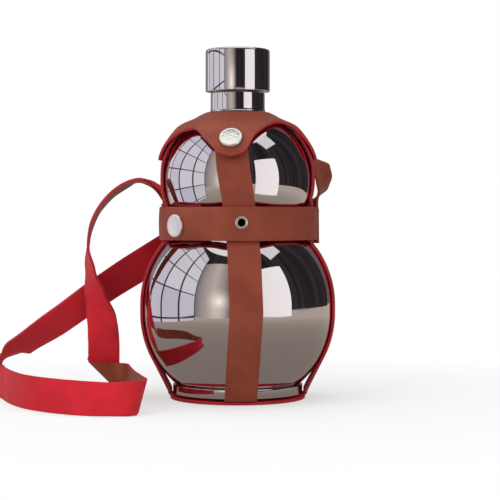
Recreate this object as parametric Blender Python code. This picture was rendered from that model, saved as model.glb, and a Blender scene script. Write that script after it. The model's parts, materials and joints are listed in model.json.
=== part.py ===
"""Gourd-shaped steel bottle in a leather harness with a loose shoulder strap.

Metres, +Z up. The origin is on the bottle's axis, on the underside of the leather base disc.
The front of the bottle faces -Y. An azimuth is measured from the front, positive towards +X.
"""
import math

import bmesh
import bpy
from mathutils import Matrix, Vector

# Shared clearances
GAP = 0.0003
SOFT_GAP = 0.00035
OVERRUN = 0.0006

# Snap fasteners: heights are measured outward from the leather that carries the stud
SNAP_CAP_RADIUS = 0.00735
SNAP_CAP_RIM = 0.0009
SNAP_CAP_DISH = 0.0004
SNAP_CAP_HEIGHT = 0.0015
SNAP_SHANK = 0.0014
STUD_RADIUS = 0.005
STUD_FLANGE = 0.0004
STUD_BORE = 0.0013
KNOB_RADIUS = 0.0019
KNOB_TOP = 0.002
SOCKET_RADIUS = 0.0052
SOCKET_BORE = 0.0026
SOCKET_THICKNESS = 0.0012
SOCKET_SEAT = 0.00055
SOCKET_CLEARANCE = 0.00035
SNAP_STACK = GAP + STUD_FLANGE + SOCKET_CLEARANCE + SOCKET_THICKNESS + SOCKET_SEAT
POST_RADIUS = 0.0038
POST_HEAD = 0.0004
POST_SHANK = 0.0009
POST_CLEARANCE = 0.0002
SNAP_STEPS = 14
COLLAR_SNAP_POLAR = math.radians(62.6)
COLLAR_SNAP_OFFSET = -0.0042
BELT_SNAP_AZIMUTH = math.radians(-48.3)
BELT_SNAP_OFFSET = -0.00135

# Eyelets: offsets are measured from the middle of the belt
EYELET_HOLE = 0.0025
EYELET_WALL = 0.0004
EYELET_FLANGE = 0.0041
EYELET_PLATE = 0.0005
EYELET_SEAT = 0.0002
EYELET_STEPS = 12
FRONT_EYELET = math.radians(3.1)
LEFT_EYELET = math.radians(-118)
RIGHT_EYELET = math.radians(112)
FRONT_EYELET_OFFSET = 0.00075
SIDE_EYELET_OFFSET = 0.00185

# Leather
LEATHER = 0.0018
STRAP_WIDTH = 0.021
STRAP_STAND = POST_HEAD + 2 * GAP + POST_CLEARANCE
STRAP_FOOT_STAND = 0.0005
STRAP_TOP_POLAR = math.radians(53)
STRAP_UPPER_BREAK = 0.0052
STRAP_LOWER_BREAK = 0.0024
STRAP_LEAVE = math.radians(-30)
TAB_THICKNESS = 0.0009
TAB_REACH = 0.0125
STRAP_UPPER_ROWS = 6
STRAP_LOWER_ROWS = 5
FRONT_LEAN_SHARES = ((0, 0.1), (0.26, 0.29), (0.42, 0.215), (0.565, 0.04), (0.65, -0.114),
                     (0.735, -0.214), (1, -0.3))
DISC_THICKNESS = 0.0019
DISC_BEVEL = 0.0004

# Foot of the bottle: the strap tabs lie between the disc and the foot ring
BASE_RADIUS = 0.03717
BASE_STAND = 0.0031
DISH_RISE = 0.003
RING_REACH = 0.00553
RING_WALL = 0.0013
RING_SEAM = 0.00045
RING_ROUND = 0.0003
RING_BOTTOM = DISC_THICKNESS + TAB_THICKNESS + 2 * GAP
RING_RADIUS = BASE_RADIUS + RING_REACH
BASE_CUT = RING_BOTTOM + BASE_STAND
DISC_REACH = 0.0018
DISC_RADIUS = RING_RADIUS + DISC_REACH
FOOT_CLEARANCE = 0.0018
FOOT_RISE = 0.0015
STRAP_FOOT_RADIUS = RING_RADIUS + FOOT_CLEARANCE + LEATHER
STRAP_FOOT_HEIGHT = RING_BOTTOM + FOOT_RISE

# Bulbs: the lower bulb has two arcs with a short straight between them
LOWER_RADIUS = 0.0623
LOWER_STRAIGHT = 0.0052
UPPER_RADIUS = 0.049
UPPER_TOP_REACH = 0.0466
BULB_SPACING = 0.0821
STEEL_WALL = 0.001
BULB_STEPS = 30
BULB_ROWS = 5
LOWER_CENTRE = BASE_CUT + math.sqrt(LOWER_RADIUS ** 2 - BASE_RADIUS ** 2)
LOWER_TOP_CENTRE = LOWER_CENTRE + LOWER_STRAIGHT
UPPER_CENTRE = LOWER_TOP_CENTRE + BULB_SPACING
TOP_FLATNESS = UPPER_TOP_REACH / UPPER_RADIUS
WAIST_RISE = (BULB_SPACING ** 2 + LOWER_RADIUS ** 2 - UPPER_RADIUS ** 2) / (2 * BULB_SPACING)
WAIST_HEIGHT = LOWER_TOP_CENTRE + WAIST_RISE

# Neck and its thread
NECK_BORE = 0.014
NECK_WALL = 0.0016
NECK_SHOULDER_WIDTH = 0.0023
NECK_FLARE = 0.001
NECK_FLARE_HEIGHT = 0.0043
NECK_LENGTH = 0.0145
SPOUT_LENGTH = 0.0207
RIM_ROUND = 0.0005
THREAD_DEPTH = 0.001
THREAD_PITCH = 0.004
THREAD_RUN_IN = 0.0032
THREAD_LENGTH = 0.012
THREAD_CLEARANCE = 0.0005
THREAD_ROWS = 5
THREAD_STEPS = 24
THREAD_ROOT = NECK_BORE + NECK_WALL
NECK_RADIUS = THREAD_ROOT + NECK_SHOULDER_WIDTH
NECK_FOOT_RADIUS = NECK_RADIUS + NECK_FLARE
NECK_FOOT = UPPER_CENTRE + TOP_FLATNESS * math.sqrt(UPPER_RADIUS ** 2 - NECK_FOOT_RADIUS ** 2)
NECK_SHOULDER = NECK_FOOT + NECK_LENGTH
THREAD_START = NECK_SHOULDER + THREAD_RUN_IN
RIM_HEIGHT = NECK_SHOULDER + SPOUT_LENGTH

# Cap
CAP_WALL = 0.00095
CAP_ROUND = 0.0017
CAP_ROUND_STEPS = 3
CAP_STAND = 0.0008
LINER_WALL = 0.0029
LINER_ROOF = 0.0031
LINER_RISE = 0.0013
GASKET_THICKNESS = 0.002
GASKET_LIP = 0.001
CAP_RADIUS = THREAD_ROOT + THREAD_CLEARANCE + THREAD_DEPTH + LINER_WALL + GAP + CAP_WALL
CAP_BOTTOM = NECK_SHOULDER + CAP_STAND
LINER_BOTTOM = CAP_BOTTOM + LINER_RISE
CAP_TOP = RIM_HEIGHT + GASKET_THICKNESS + LINER_ROOF + CAP_ROUND + 4 * GAP
GASKET_BORE = NECK_BORE - GASKET_LIP

# Waist belt: it lies on the straps, which lie on the steel at the belt's widest edge
BELT_WIDTH = 0.0217
BELT_DROP = 0.00746
BELT_TUCK_STAND = 0.00045
BELT_LEFT_PULL = 0.0006
BELT_SLACK = 0.0015
BELT_START = math.radians(-30)
BELT_TUCK_END = math.radians(-51)
BELT_LEFT_START = math.radians(-76)
BELT_LEFT_END = math.radians(-110)
BELT_BACK_PLACE = math.radians(-180)
BELT_LOOSE_START = math.radians(-240)
BELT_HINGE = math.radians(-10)
BELT_FLAP_END = math.radians(-80)
BELT_STEP = math.radians(7)
BELT_BOTTOM = WAIST_HEIGHT - BELT_DROP
BELT_TOP = BELT_BOTTOM + BELT_WIDTH
BELT_MIDDLE = (BELT_BOTTOM + BELT_TOP) / 2
STEEL_UNDER_BELT = max(math.sqrt(LOWER_RADIUS ** 2 - (BELT_BOTTOM - LOWER_TOP_CENTRE) ** 2),
                       math.sqrt(UPPER_RADIUS ** 2 - (UPPER_CENTRE - BELT_TOP) ** 2))
BELT_TUCKED = STEEL_UNDER_BELT + BELT_TUCK_STAND
BELT_BACK = STEEL_UNDER_BELT + STRAP_STAND + LEATHER + SOFT_GAP
BELT_LEFT = BELT_BACK - BELT_LEFT_PULL
BELT_LOOSE = BELT_BACK + BELT_SLACK

# Collar
HOLE_POLAR = math.radians(24)
COLLAR_STAND = 0.0004
COLLAR_RISE_START = math.radians(32)
COLLAR_RISE_END = math.radians(49)
COLLAR_ROWS = 4
LOBE_SHARES = ((0, 1), (0.178, 0.995), (0.3, 0.971), (0.382, 0.92), (0.43, 0.84), (0.458, 0.76),
               (0.498, 0.693), (0.578, 0.64))
LOBE_REACH = math.radians(74.3)
ARCH_SHARES = ((0.711, 1.013), (0.844, 1), (1, 1))
ARCH_POLAR_LEFT = math.radians(49)
ARCH_POLAR_RIGHT = math.radians(45.3)
ARCH_POLAR_BACK = math.radians(46)
FLAP_CUT = math.radians(50)
FLAP_REACH = math.radians(73.6)
FLAP_CENTRE = -0.0034
FLAP_HALF = 0.0196
FLAP_OUTLINE_SHARES = ((0, -1, 1), (0.178, -0.872, 0.847), (0.356, -0.77, 0.714), (0.533, -0.673, 0.612),
                       (0.711, -0.592, 0.531), (0.844, -0.5, 0.459), (0.947, -0.337, 0.276),
                       (1, -0.173, 0.097))
FLAP_ARCH_SHARES = ((0.42, 0.32), (0.68, 0.08))
FLAP_RISE_SHARE = 0.178

# Shoulder strap route from its left end to its right end: centre, width direction, skew share.
# The skew share turns the cross lines towards the crease of a fold. The route was chosen for the
# belt at these two places, and it moves with the belt.
ROUTE_BELT_BACK = 0.049
ROUTE_BELT_BOTTOM = 0.1043
ROUTE_FLOOR = 0.02
ROUTE_STEP = 0.011
STRAP_ROUTE = (
    (-0.0456, 0.0242, 0.1018, -0.469, -0.883, 0, 0),
    (-0.0454, 0.0241, 0.1055, -0.469, -0.883, 0, 0),
    (-0.0454, 0.0241, 0.1150, -0.469, -0.883, 0, 0),
    (-0.0454, 0.0241, 0.1250, -0.469, -0.883, 0, 0),
    (-0.0478, 0.0246, 0.1310, -0.43, -0.9, 0, 0),
    (-0.0530, 0.0215, 0.1365, -0.25, -0.97, 0, 0),
    (-0.0602, 0.0150, 0.1412, -0.1, -0.99, 0, 0),
    (-0.0680, 0.0090, 0.143, 0, -1, 0.08, 0),
    (-0.0780, 0.0080, 0.1385, 0, -1, 0.12, 0),
    (-0.0880, 0.0090, 0.130, 0, -1, 0.08, 0),
    (-0.0960, 0.0105, 0.118, 0, -1, 0, 0),
    (-0.1000, 0.0120, 0.102, 0.08, -1, 0, 0),
    (-0.0990, 0.0140, 0.084, 0.35, -0.93, 0, 0),
    (-0.0955, 0.0155, 0.066, 0.7, -0.7, 0, 0),
    (-0.0915, 0.0165, 0.050, 0.95, -0.3, 0, 0),
    (-0.0903, 0.0170, 0.036, 1, -0.05, 0, 0.1),
    (-0.0902, 0.0170, 0.026, 1, 0, 0, 0.6),
    (-0.0902, 0.0170, 0.0168, 1, 0, 0, 1),
    (-0.09006, 0.01624, 0.01406, 0.854, 0.5, -0.146, 1),
    (-0.08915, 0.0144, 0.01207, 0.5, 0.707, -0.5, 1),
    (-0.08717, 0.01256, 0.01117, 0.146, 0.5, -0.854, 1),
    (-0.0844, 0.0118, 0.011, 0, 0, -1, 1),
    (-0.0795, 0.0117, 0.0109, 0, 0, -1, 0.75),
    (-0.0755, 0.0098, 0.0109, 0, 0, -1, 0.45),
    (-0.0733, 0.0055, 0.0109, 0, 0, -1, 0.25),
    (-0.0722, -0.002, 0.0109, 0, 0, -1, 0.1),
    (-0.0702, -0.014, 0.0109, 0, 0, -1, 0),
    (-0.0660, -0.038, 0.0109, 0, 0, -1, 0),
    (-0.0610, -0.064, 0.0109, -0.1, 0, -1, 0),
    (-0.0580, -0.080, 0.0107, -0.25, 0, -0.97, 0),
    (-0.0590, -0.0882, 0.0105, -0.3, -0.1, -0.95, 0),
    (-0.0645, -0.0925, 0.0101, -0.2, -0.35, -0.91, 0),
    (-0.0760, -0.0935, 0.0099, 0, -0.45, -0.89, 0),
    (-0.0920, -0.0915, 0.0102, 0, -0.35, -0.93, 0),
    (-0.1080, -0.0855, 0.0107, 0, -0.15, -0.98, 0),
    (-0.1220, -0.0745, 0.0109, 0, 0, -1, 0),
    (-0.1340, -0.0590, 0.0109, 0, 0, -1, 0),
    (-0.1450, -0.0360, 0.0109, 0, 0, -1, 0),
    (-0.1540, -0.0100, 0.0109, 0, 0, -1, 0),
    (-0.1615, 0.0090, 0.0111, 0.12, 0.05, -1, 0),
    (-0.1690, 0.0260, 0.0116, 0.5, 0.15, -0.85, 0),
    (-0.1720, 0.0400, 0.0135, 0.95, 0, -0.25, 0),
    (-0.1675, 0.0500, 0.0175, 0.8, -0.58, 0.05, 0),
    (-0.1590, 0.0490, 0.0235, 0.25, -0.9, 0.35, 0),
    (-0.1490, 0.0430, 0.0305, -0.2, -0.75, 0.6, 0),
    (-0.1214, 0.0350, 0.049, -0.45, -0.53, 0.7, 0),
    (-0.0905, 0.0320, 0.071, -0.5, -0.4, 0.75, 0),
    (-0.0600, 0.0370, 0.0905, -0.5, -0.1, 0.8, 0),
    (-0.0410, 0.0470, 0.1020, -0.4, 0.1, 0.9, 0),
    (-0.0200, 0.0555, 0.1110, -0.25, 0.05, 0.97, 0),
    (0, 0.0585, 0.1165, -0.12, 0, 0.99, 0),
    (0.0190, 0.0570, 0.1300, -0.25, -0.05, 0.97, 0),
    (0.0330, 0.0505, 0.1445, -0.4, -0.25, 0.88, 0),
    (0.0430, 0.0430, 0.1545, -0.55, -0.55, 0.63, 0),
    (0.0500, 0.0345, 0.1590, -0.6, -0.75, 0.25, 0),
    (0.0545, 0.0260, 0.1560, -0.6, -0.8, 0.05, 0),
    (0.0568, 0.0225, 0.1490, -0.6, -0.8, 0, 0),
    (0.0568, 0.0208, 0.1410, -0.4, -0.916, 0, 0),
    (0.0540, 0.0203, 0.1335, -0.05, -0.99, 0, 0),
    (0.0507, 0.0202, 0.1280, 0.25, -0.97, 0, 0),
    (0.0496, 0.0200, 0.1235, 0.375, -0.927, 0, 0),
    (0.0496, 0.0200, 0.1115, 0.375, -0.927, 0, 0),
    (0.0496, 0.0200, 0.1055, 0.375, -0.927, 0, 0),
    (0.0498, 0.0201, 0.1018, 0.375, -0.927, 0, 0),
)

# Finishes: colour, roughness, metallic
STEEL = ((0.32, 0.31, 0.33, 1), 0.08, 1)
BRIGHT = ((0.7, 0.69, 0.67, 1), 0.25, 1)
BROWN = ((0.24, 0.06, 0.035, 1), 0.6, 0)
RED = ((0.5, 0.01, 0.03, 1), 0.75, 0)
RUBBER = ((0.05, 0.05, 0.05, 1), 0.7, 0)


def clear_scene():
    """Remove every object of the scene."""
    for thing in list(bpy.data.objects):
        bpy.data.objects.remove(thing, do_unlink=True)


def finish(name, look):
    """Give back a Principled material for one object."""
    colour, roughness, metallic = look
    made = bpy.data.materials.new(name)
    made.use_nodes = True
    shader = made.node_tree.nodes["Principled BSDF"]
    shader.inputs["Base Color"].default_value = colour
    shader.inputs["Roughness"].default_value = roughness
    shader.inputs["Metallic"].default_value = metallic
    return made


def as_object(name, bm, look, parent=None, matrix=None):
    """Turn a bmesh into a named, smooth-shaded object."""
    bmesh.ops.recalc_face_normals(bm, faces=bm.faces)
    mesh = bpy.data.meshes.new(name)
    bm.to_mesh(mesh)
    bm.free()
    mesh.shade_smooth()
    mesh.set_sharp_from_angle(angle=math.radians(40))
    mesh.materials.append(finish(name, look))
    thing = bpy.data.objects.new(name, mesh)
    bpy.context.scene.collection.objects.link(thing)
    if parent is not None:
        thing.parent = parent
        thing.matrix_parent_inverse = parent.matrix_world.inverted()
    if matrix is not None:
        thing.matrix_world = matrix
    return thing


def pivot(name, place):
    """Make an empty on a joint's axis."""
    empty = bpy.data.objects.new(name, None)
    empty.location = place
    bpy.context.scene.collection.objects.link(empty)
    bpy.context.view_layer.update()
    return empty


def around(azimuth, radius, height):
    """Point at an azimuth from the front, a radius from the axis and a height."""
    return Vector((radius * math.sin(azimuth), -radius * math.cos(azimuth), height))


def mix(start, end, share):
    return start + (end - start) * share


def smooth_share(value, start, end):
    """Rise from 0 at start to 1 at end with level ends."""
    share = min(1, max(0, (value - start) / (end - start)))
    return share * share * (3 - 2 * share)


def along_table(table, place):
    """Read a table of (place, value) pairs with straight lines between them."""
    for (here, value), (there, following) in zip(table, table[1:]):
        if place <= there:
            return mix(value, following, max(0, place - here) / (there - here))
    return table[-1][1]


def thread_wave(azimuth, height):
    """Share of the thread depth at a point of the neck: 1 on the crest, 0 in the root."""
    return (1 + math.cos(math.tau * height / THREAD_PITCH - azimuth)) / 2


def turned(section, steps):
    """Turn a closed section round Z. A section point is (radius, height, thread share)."""
    bm = bmesh.new()
    rings = []
    for point in section:
        radius, height = point[:2]
        thread = point[2] if len(point) == 3 else 0
        if radius == 0:
            rings.append([bm.verts.new((0, 0, height))] * steps)
            continue
        ring = []
        for step in range(steps):
            angle = math.tau * step / steps
            reach = radius + thread * THREAD_DEPTH * thread_wave(angle, height)
            ring.append(bm.verts.new((reach * math.cos(angle), reach * math.sin(angle), height)))
        rings.append(ring)
    for upper, lower in zip(rings, rings[1:] + rings[:1]):
        for step in range(steps):
            following = (step + 1) % steps
            corners = (upper[step], upper[following], lower[following], lower[step])
            corners = list(dict.fromkeys(corners))
            if len(corners) > 2:
                bm.faces.new(corners)
    return bm


def lofted(sections, closed=False):
    """Join equal loops of points into one solid with flat ends."""
    bm = bmesh.new()
    rings = [[bm.verts.new(point) for point in section] for section in sections]
    pairs = list(zip(rings, rings[1:]))
    if closed:
        pairs.append((rings[-1], rings[0]))
    else:
        bm.faces.new(rings[0])
        bm.faces.new(rings[-1])
    for first, second in pairs:
        for index in range(len(first)):
            other = (index + 1) % len(first)
            bm.faces.new((first[index], first[other], second[other], second[index]))
    return bm


def arc(centre, radius, start, end, count):
    """Points (radius from the axis, height) on a circle whose centre lies on the axis."""
    angles = (mix(start, end, step / count) for step in range(count + 1))
    return [(radius * math.cos(angle), centre + radius * math.sin(angle)) for angle in angles]


def upper_height(rise):
    """Height of a point of the upper bulb, whose upper half is flatter than a ball."""
    return UPPER_CENTRE + (rise * TOP_FLATNESS if rise > 0 else rise)


def upper_arc(radius, start, end, count):
    """Points (radius from the axis, height) on the upper bulb or on what lies on it."""
    return [(across, upper_height(rise)) for across, rise in arc(0, radius, start, end, count)]


def make_lower_bulb():
    """Open shell of the lower bulb with a dished bottom."""
    centre = LOWER_TOP_CENTRE
    bottom = math.asin((BASE_CUT - LOWER_CENTRE) / LOWER_RADIUS)
    top = math.asin((WAIST_HEIGHT - GAP / 2 - centre) / LOWER_RADIUS)
    section = [(0, BASE_CUT + DISH_RISE)]
    section += arc(LOWER_CENTRE, LOWER_RADIUS, bottom, 0, BULB_ROWS)
    section += arc(centre, LOWER_RADIUS, 0, top, BULB_ROWS)
    inside = LOWER_RADIUS - STEEL_WALL
    section += arc(centre, inside, top, 0, BULB_ROWS)
    section += arc(LOWER_CENTRE, inside, 0, bottom, BULB_ROWS)
    section.append((0, BASE_CUT + DISH_RISE + STEEL_WALL))
    as_object("bottle_lower_bulb", turned(section, BULB_STEPS), STEEL)


def make_upper_bulb():
    """Open shell of the upper bulb."""
    bottom = math.asin((WAIST_HEIGHT + GAP / 2 - UPPER_CENTRE) / UPPER_RADIUS)
    top = math.asin((NECK_FOOT - GAP - UPPER_CENTRE) / UPPER_TOP_REACH)
    section = upper_arc(UPPER_RADIUS, bottom, top, 2 * BULB_ROWS - 2)
    section += upper_arc(UPPER_RADIUS - STEEL_WALL, top, bottom, 2 * BULB_ROWS - 2)
    as_object("bottle_upper_bulb", turned(section, BULB_STEPS), STEEL)


def thread_section(base, end):
    """Rows of the thread over a plain radius, up to a height."""
    rows = round((end - THREAD_START) / THREAD_PITCH * THREAD_ROWS)
    return [(base, mix(THREAD_START, end, row / rows), 1) for row in range(rows + 1)]


def make_neck():
    """Neck with a flared foot, a shoulder under the cap and the outer thread."""
    lead = THREAD_PITCH / 3
    flare_top = NECK_FOOT + NECK_FLARE_HEIGHT
    middle = mix(NECK_FOOT_RADIUS, NECK_RADIUS, 0.7)
    section = [(NECK_FOOT_RADIUS, NECK_FOOT), (middle, NECK_FOOT + NECK_FLARE_HEIGHT / 2)]
    section += [(NECK_RADIUS, flare_top), (NECK_RADIUS, NECK_SHOULDER)]
    section += [(THREAD_ROOT, NECK_SHOULDER + RIM_ROUND * 2)]
    section += [(radius, height, share) for radius, height, share in thread_section(
        THREAD_ROOT, THREAD_START + THREAD_LENGTH)]
    section += [(THREAD_ROOT, THREAD_START + THREAD_LENGTH + lead)]
    section += [(THREAD_ROOT, RIM_HEIGHT - RIM_ROUND), (THREAD_ROOT - RIM_ROUND, RIM_HEIGHT)]
    section += [(NECK_BORE, RIM_HEIGHT), (NECK_BORE, flare_top)]
    section += [(NECK_FOOT_RADIUS - STEEL_WALL * 1.2, NECK_FOOT)]
    as_object("bottle_neck", turned(section, THREAD_STEPS), STEEL)


def make_foot_ring():
    """Steel ring that the bottle stands on."""
    inner = RING_RADIUS - RING_WALL
    top = LOWER_CENTRE - math.sqrt(LOWER_RADIUS ** 2 - inner ** 2) - RING_SEAM
    section = [(inner, RING_BOTTOM), (RING_RADIUS - RING_ROUND, RING_BOTTOM)]
    section += [(RING_RADIUS, RING_BOTTOM + RING_ROUND), (RING_RADIUS, top - RING_ROUND)]
    section += [(RING_RADIUS - RING_ROUND, top), (inner, top)]
    as_object("foot_ring", turned(section, BULB_STEPS), STEEL)


def make_cap(lift, turn):
    """Cap shell, threaded liner and gasket."""
    corner = CAP_RADIUS - CAP_ROUND
    section = [(0, CAP_TOP)]
    for step in range(CAP_ROUND_STEPS + 1):
        angle = math.pi / 2 * (1 - step / CAP_ROUND_STEPS)
        section.append((corner + CAP_ROUND * math.cos(angle), CAP_TOP - CAP_ROUND * (1 - math.sin(angle))))
    inner = CAP_RADIUS - CAP_WALL
    ceiling = CAP_TOP - CAP_ROUND
    section += [(CAP_RADIUS, CAP_BOTTOM), (inner, CAP_BOTTOM), (inner, ceiling - GAP), (0, ceiling - GAP)]
    as_object("cap_shell", turned(section, BULB_STEPS), STEEL, turn)

    outer = inner - GAP
    seat = RIM_HEIGHT + GASKET_THICKNESS + 2 * GAP
    base = THREAD_ROOT + THREAD_CLEARANCE
    section = [(0, ceiling - 2 * GAP), (outer, ceiling - 2 * GAP), (outer, LINER_BOTTOM)]
    section += [(base, LINER_BOTTOM, 1)]
    section += thread_section(base, THREAD_START + THREAD_LENGTH)
    section += [(base + THREAD_DEPTH, THREAD_START + THREAD_LENGTH + THREAD_PITCH / 3)]
    section += [(base + THREAD_DEPTH, seat), (0, seat)]
    as_object("cap_liner", turned(section, THREAD_STEPS), BRIGHT, turn)

    bottom = RIM_HEIGHT + GAP
    rim = base + THREAD_DEPTH - GAP
    section = [(GASKET_BORE, bottom), (rim, bottom)]
    section += [(rim, bottom + GASKET_THICKNESS), (GASKET_BORE, bottom + GASKET_THICKNESS)]
    as_object("cap_gasket", turned(section, THREAD_STEPS), RUBBER, lift)


def belt_inner(azimuth):
    """Radius of the belt's inner face along its spiral, from the tucked end to the hinge."""
    table = ((-BELT_START, BELT_TUCKED), (-BELT_TUCK_END, BELT_TUCKED), (-BELT_LEFT_START, BELT_LEFT),
             (-BELT_LEFT_END, BELT_LEFT), (-BELT_BACK_PLACE, BELT_BACK),
             (-BELT_LOOSE_START, BELT_LOOSE), (math.tau, BELT_LOOSE))
    return along_table(table, -azimuth)


def belt_section(azimuth, inner):
    """Four corners of the belt at one azimuth."""
    outer = inner + LEATHER
    corners = ((inner, BELT_BOTTOM), (outer, BELT_BOTTOM), (outer, BELT_TOP), (inner, BELT_TOP))
    return [around(azimuth, radius, height) for radius, height in corners]


def make_belt(belt_pivot):
    """Waist belt and the flap that its front snap holds."""
    end = BELT_HINGE - math.tau + GAP / (2 * BELT_LOOSE)
    count = math.ceil((BELT_START - end) / BELT_STEP)
    sections = []
    for step in range(count + 1):
        azimuth = mix(BELT_START, end, step / count)
        sections.append(belt_section(azimuth, belt_inner(azimuth)))
    belt = as_object("waist_belt", lofted(sections), BROWN)

    start = BELT_HINGE - GAP / (2 * BELT_LOOSE)
    count = math.ceil((start - BELT_FLAP_END) / BELT_STEP)
    places = [mix(start, BELT_FLAP_END, step / count) for step in range(count + 1)]
    sections = [belt_section(place, BELT_LOOSE) for place in places]
    flap = as_object("belt_flap", lofted(sections), BROWN, belt_pivot)
    return belt, flap


def strap_profile(belt_radius):
    """Pairs of outer and inner points (radius, height) down one strap, from the collar to the foot."""
    outer_reach = UPPER_RADIUS + STRAP_STAND + LEATHER
    start = math.pi / 2 - STRAP_TOP_POLAR
    end = math.asin((BELT_TOP + STRAP_UPPER_BREAK - UPPER_CENTRE) / outer_reach)
    outer = upper_arc(outer_reach, start, end, STRAP_UPPER_ROWS)
    inner = upper_arc(outer_reach - LEATHER, start, end, STRAP_UPPER_ROWS)
    under = belt_radius - SOFT_GAP
    for height in (BELT_TOP + GAP, BELT_BOTTOM - GAP):
        outer.append((under, height))
        inner.append((under - LEATHER, height))
    reach = LOWER_RADIUS + STRAP_STAND + LEATHER
    centre = LOWER_TOP_CENTRE
    start = math.asin((BELT_BOTTOM - STRAP_LOWER_BREAK - centre) / reach)
    outer += arc(centre, reach, start, 0, STRAP_LOWER_ROWS)
    inner += arc(centre, reach - LEATHER, start, 0, STRAP_LOWER_ROWS)
    for step in range(STRAP_LOWER_ROWS + 1):
        share = step / STRAP_LOWER_ROWS
        stand = mix(STRAP_STAND, STRAP_FOOT_STAND, share)
        angle = mix(0, STRAP_LEAVE, share)
        for points, extra in ((outer, LEATHER), (inner, 0)):
            radius = LOWER_RADIUS + stand + extra
            points.append((radius * math.cos(angle), LOWER_CENTRE + radius * math.sin(angle)))
    tab_bottom = DISC_THICKNESS + GAP
    tab_top = tab_bottom + TAB_THICKNESS
    foot = STRAP_FOOT_RADIUS
    outer += [(foot, STRAP_FOOT_HEIGHT), (foot - TAB_THICKNESS / 2, tab_top)]
    inner += [(foot - LEATHER, STRAP_FOOT_HEIGHT + LEATHER / 3), (foot - LEATHER, tab_top + TAB_THICKNESS)]
    outer += [(foot - LEATHER, tab_bottom), (foot - TAB_REACH, tab_bottom)]
    inner += [(foot - 1.5 * LEATHER, tab_top), (foot - TAB_REACH, tab_top)]
    return outer, inner


def strap_lean(height):
    """Sideways place of the front strap's middle at a height."""
    return STRAP_WIDTH * along_table(FRONT_LEAN_SHARES, height / CAP_TOP)


def make_strap(name, azimuth, belt_radius, lean=None):
    """One harness strap, from under the collar to its tab under the foot ring."""
    outer, inner = strap_profile(belt_radius)
    sections = []
    across = (-1, -1 / 3, 1 / 3, 1)
    for (radius, height), (near, low) in zip(outer, inner):
        middle = lean(height) if lean else 0
        turns = [azimuth + (middle + share * STRAP_WIDTH / 2) / radius for share in across]
        ring = [around(turn, radius, height) for turn in turns]
        ring += [around(turn, near, low) for turn in reversed(turns)]
        sections.append(ring)
    return as_object(name, lofted(sections), BROWN)


def make_straps():
    """The four harness straps."""
    straps = {}
    straps["front"] = make_strap("front_strap", 0, BELT_LOOSE, strap_lean)
    straps["right"] = make_strap("right_strap", math.pi / 2, BELT_LOOSE)
    straps["back"] = make_strap("back_strap", math.pi, BELT_BACK)
    straps["left"] = make_strap("left_strap", -math.pi / 2, BELT_LEFT)
    return straps


def make_base_disc():
    """Leather disc under the foot ring."""
    section = [(0, 0), (DISC_RADIUS - DISC_BEVEL, 0), (DISC_RADIUS, DISC_BEVEL)]
    section += [(DISC_RADIUS, DISC_THICKNESS - DISC_BEVEL), (DISC_RADIUS - DISC_BEVEL, DISC_THICKNESS)]
    section += [(0, DISC_THICKNESS)]
    as_object("base_disc", turned(section, BULB_STEPS), BROWN)


def strap_outer_distance():
    """Distance of a strap's outer face from the upper bulb's centre."""
    return UPPER_RADIUS + STRAP_STAND + LEATHER


def collar_distance(polar):
    """Distance of the collar's inner face from the upper bulb's centre."""
    rise = smooth_share(polar, COLLAR_RISE_START, COLLAR_RISE_END)
    return mix(UPPER_RADIUS + COLLAR_STAND, strap_outer_distance() + SOFT_GAP + GAP / 2, rise)


def flap_distance(angle):
    """Distance of the front flap's inner face from the upper bulb's centre."""
    end = mix(FLAP_CUT, FLAP_REACH, FLAP_RISE_SHARE)
    rise = smooth_share(angle, FLAP_CUT, end)
    return mix(collar_distance(FLAP_CUT), strap_outer_distance() + SNAP_STACK, rise)


def on_collar(azimuth, polar, distance):
    """Point at an azimuth and a polar angle of the upper bulb."""
    return around(azimuth, distance * math.sin(polar), upper_height(distance * math.cos(polar)))


def on_flap(side, angle, distance):
    """Point of the flap at a sideways place, in the plane through X tilted by an angle."""
    reach = math.sqrt(distance ** 2 - side ** 2)
    return Vector((side, -reach * math.sin(angle), upper_height(reach * math.cos(angle))))


def as_angles(point):
    """Azimuth and polar angle of a point about the upper bulb's centre."""
    azimuth = math.atan2(point.x, -point.y)
    polar = math.atan2(math.hypot(point.x, point.y), (point.z - UPPER_CENTRE) / TOP_FLATNESS)
    return azimuth, polar


def lobe_edge(centre, arch, side):
    """Edge of a lobe from its tip to the middle of the arch beside it."""
    quarter = math.pi / 4
    points = [(centre + side * share * quarter, LOBE_REACH * reach) for share, reach in LOBE_SHARES]
    points += [(centre + side * share * quarter, arch * reach) for share, reach in ARCH_SHARES]
    return points


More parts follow.
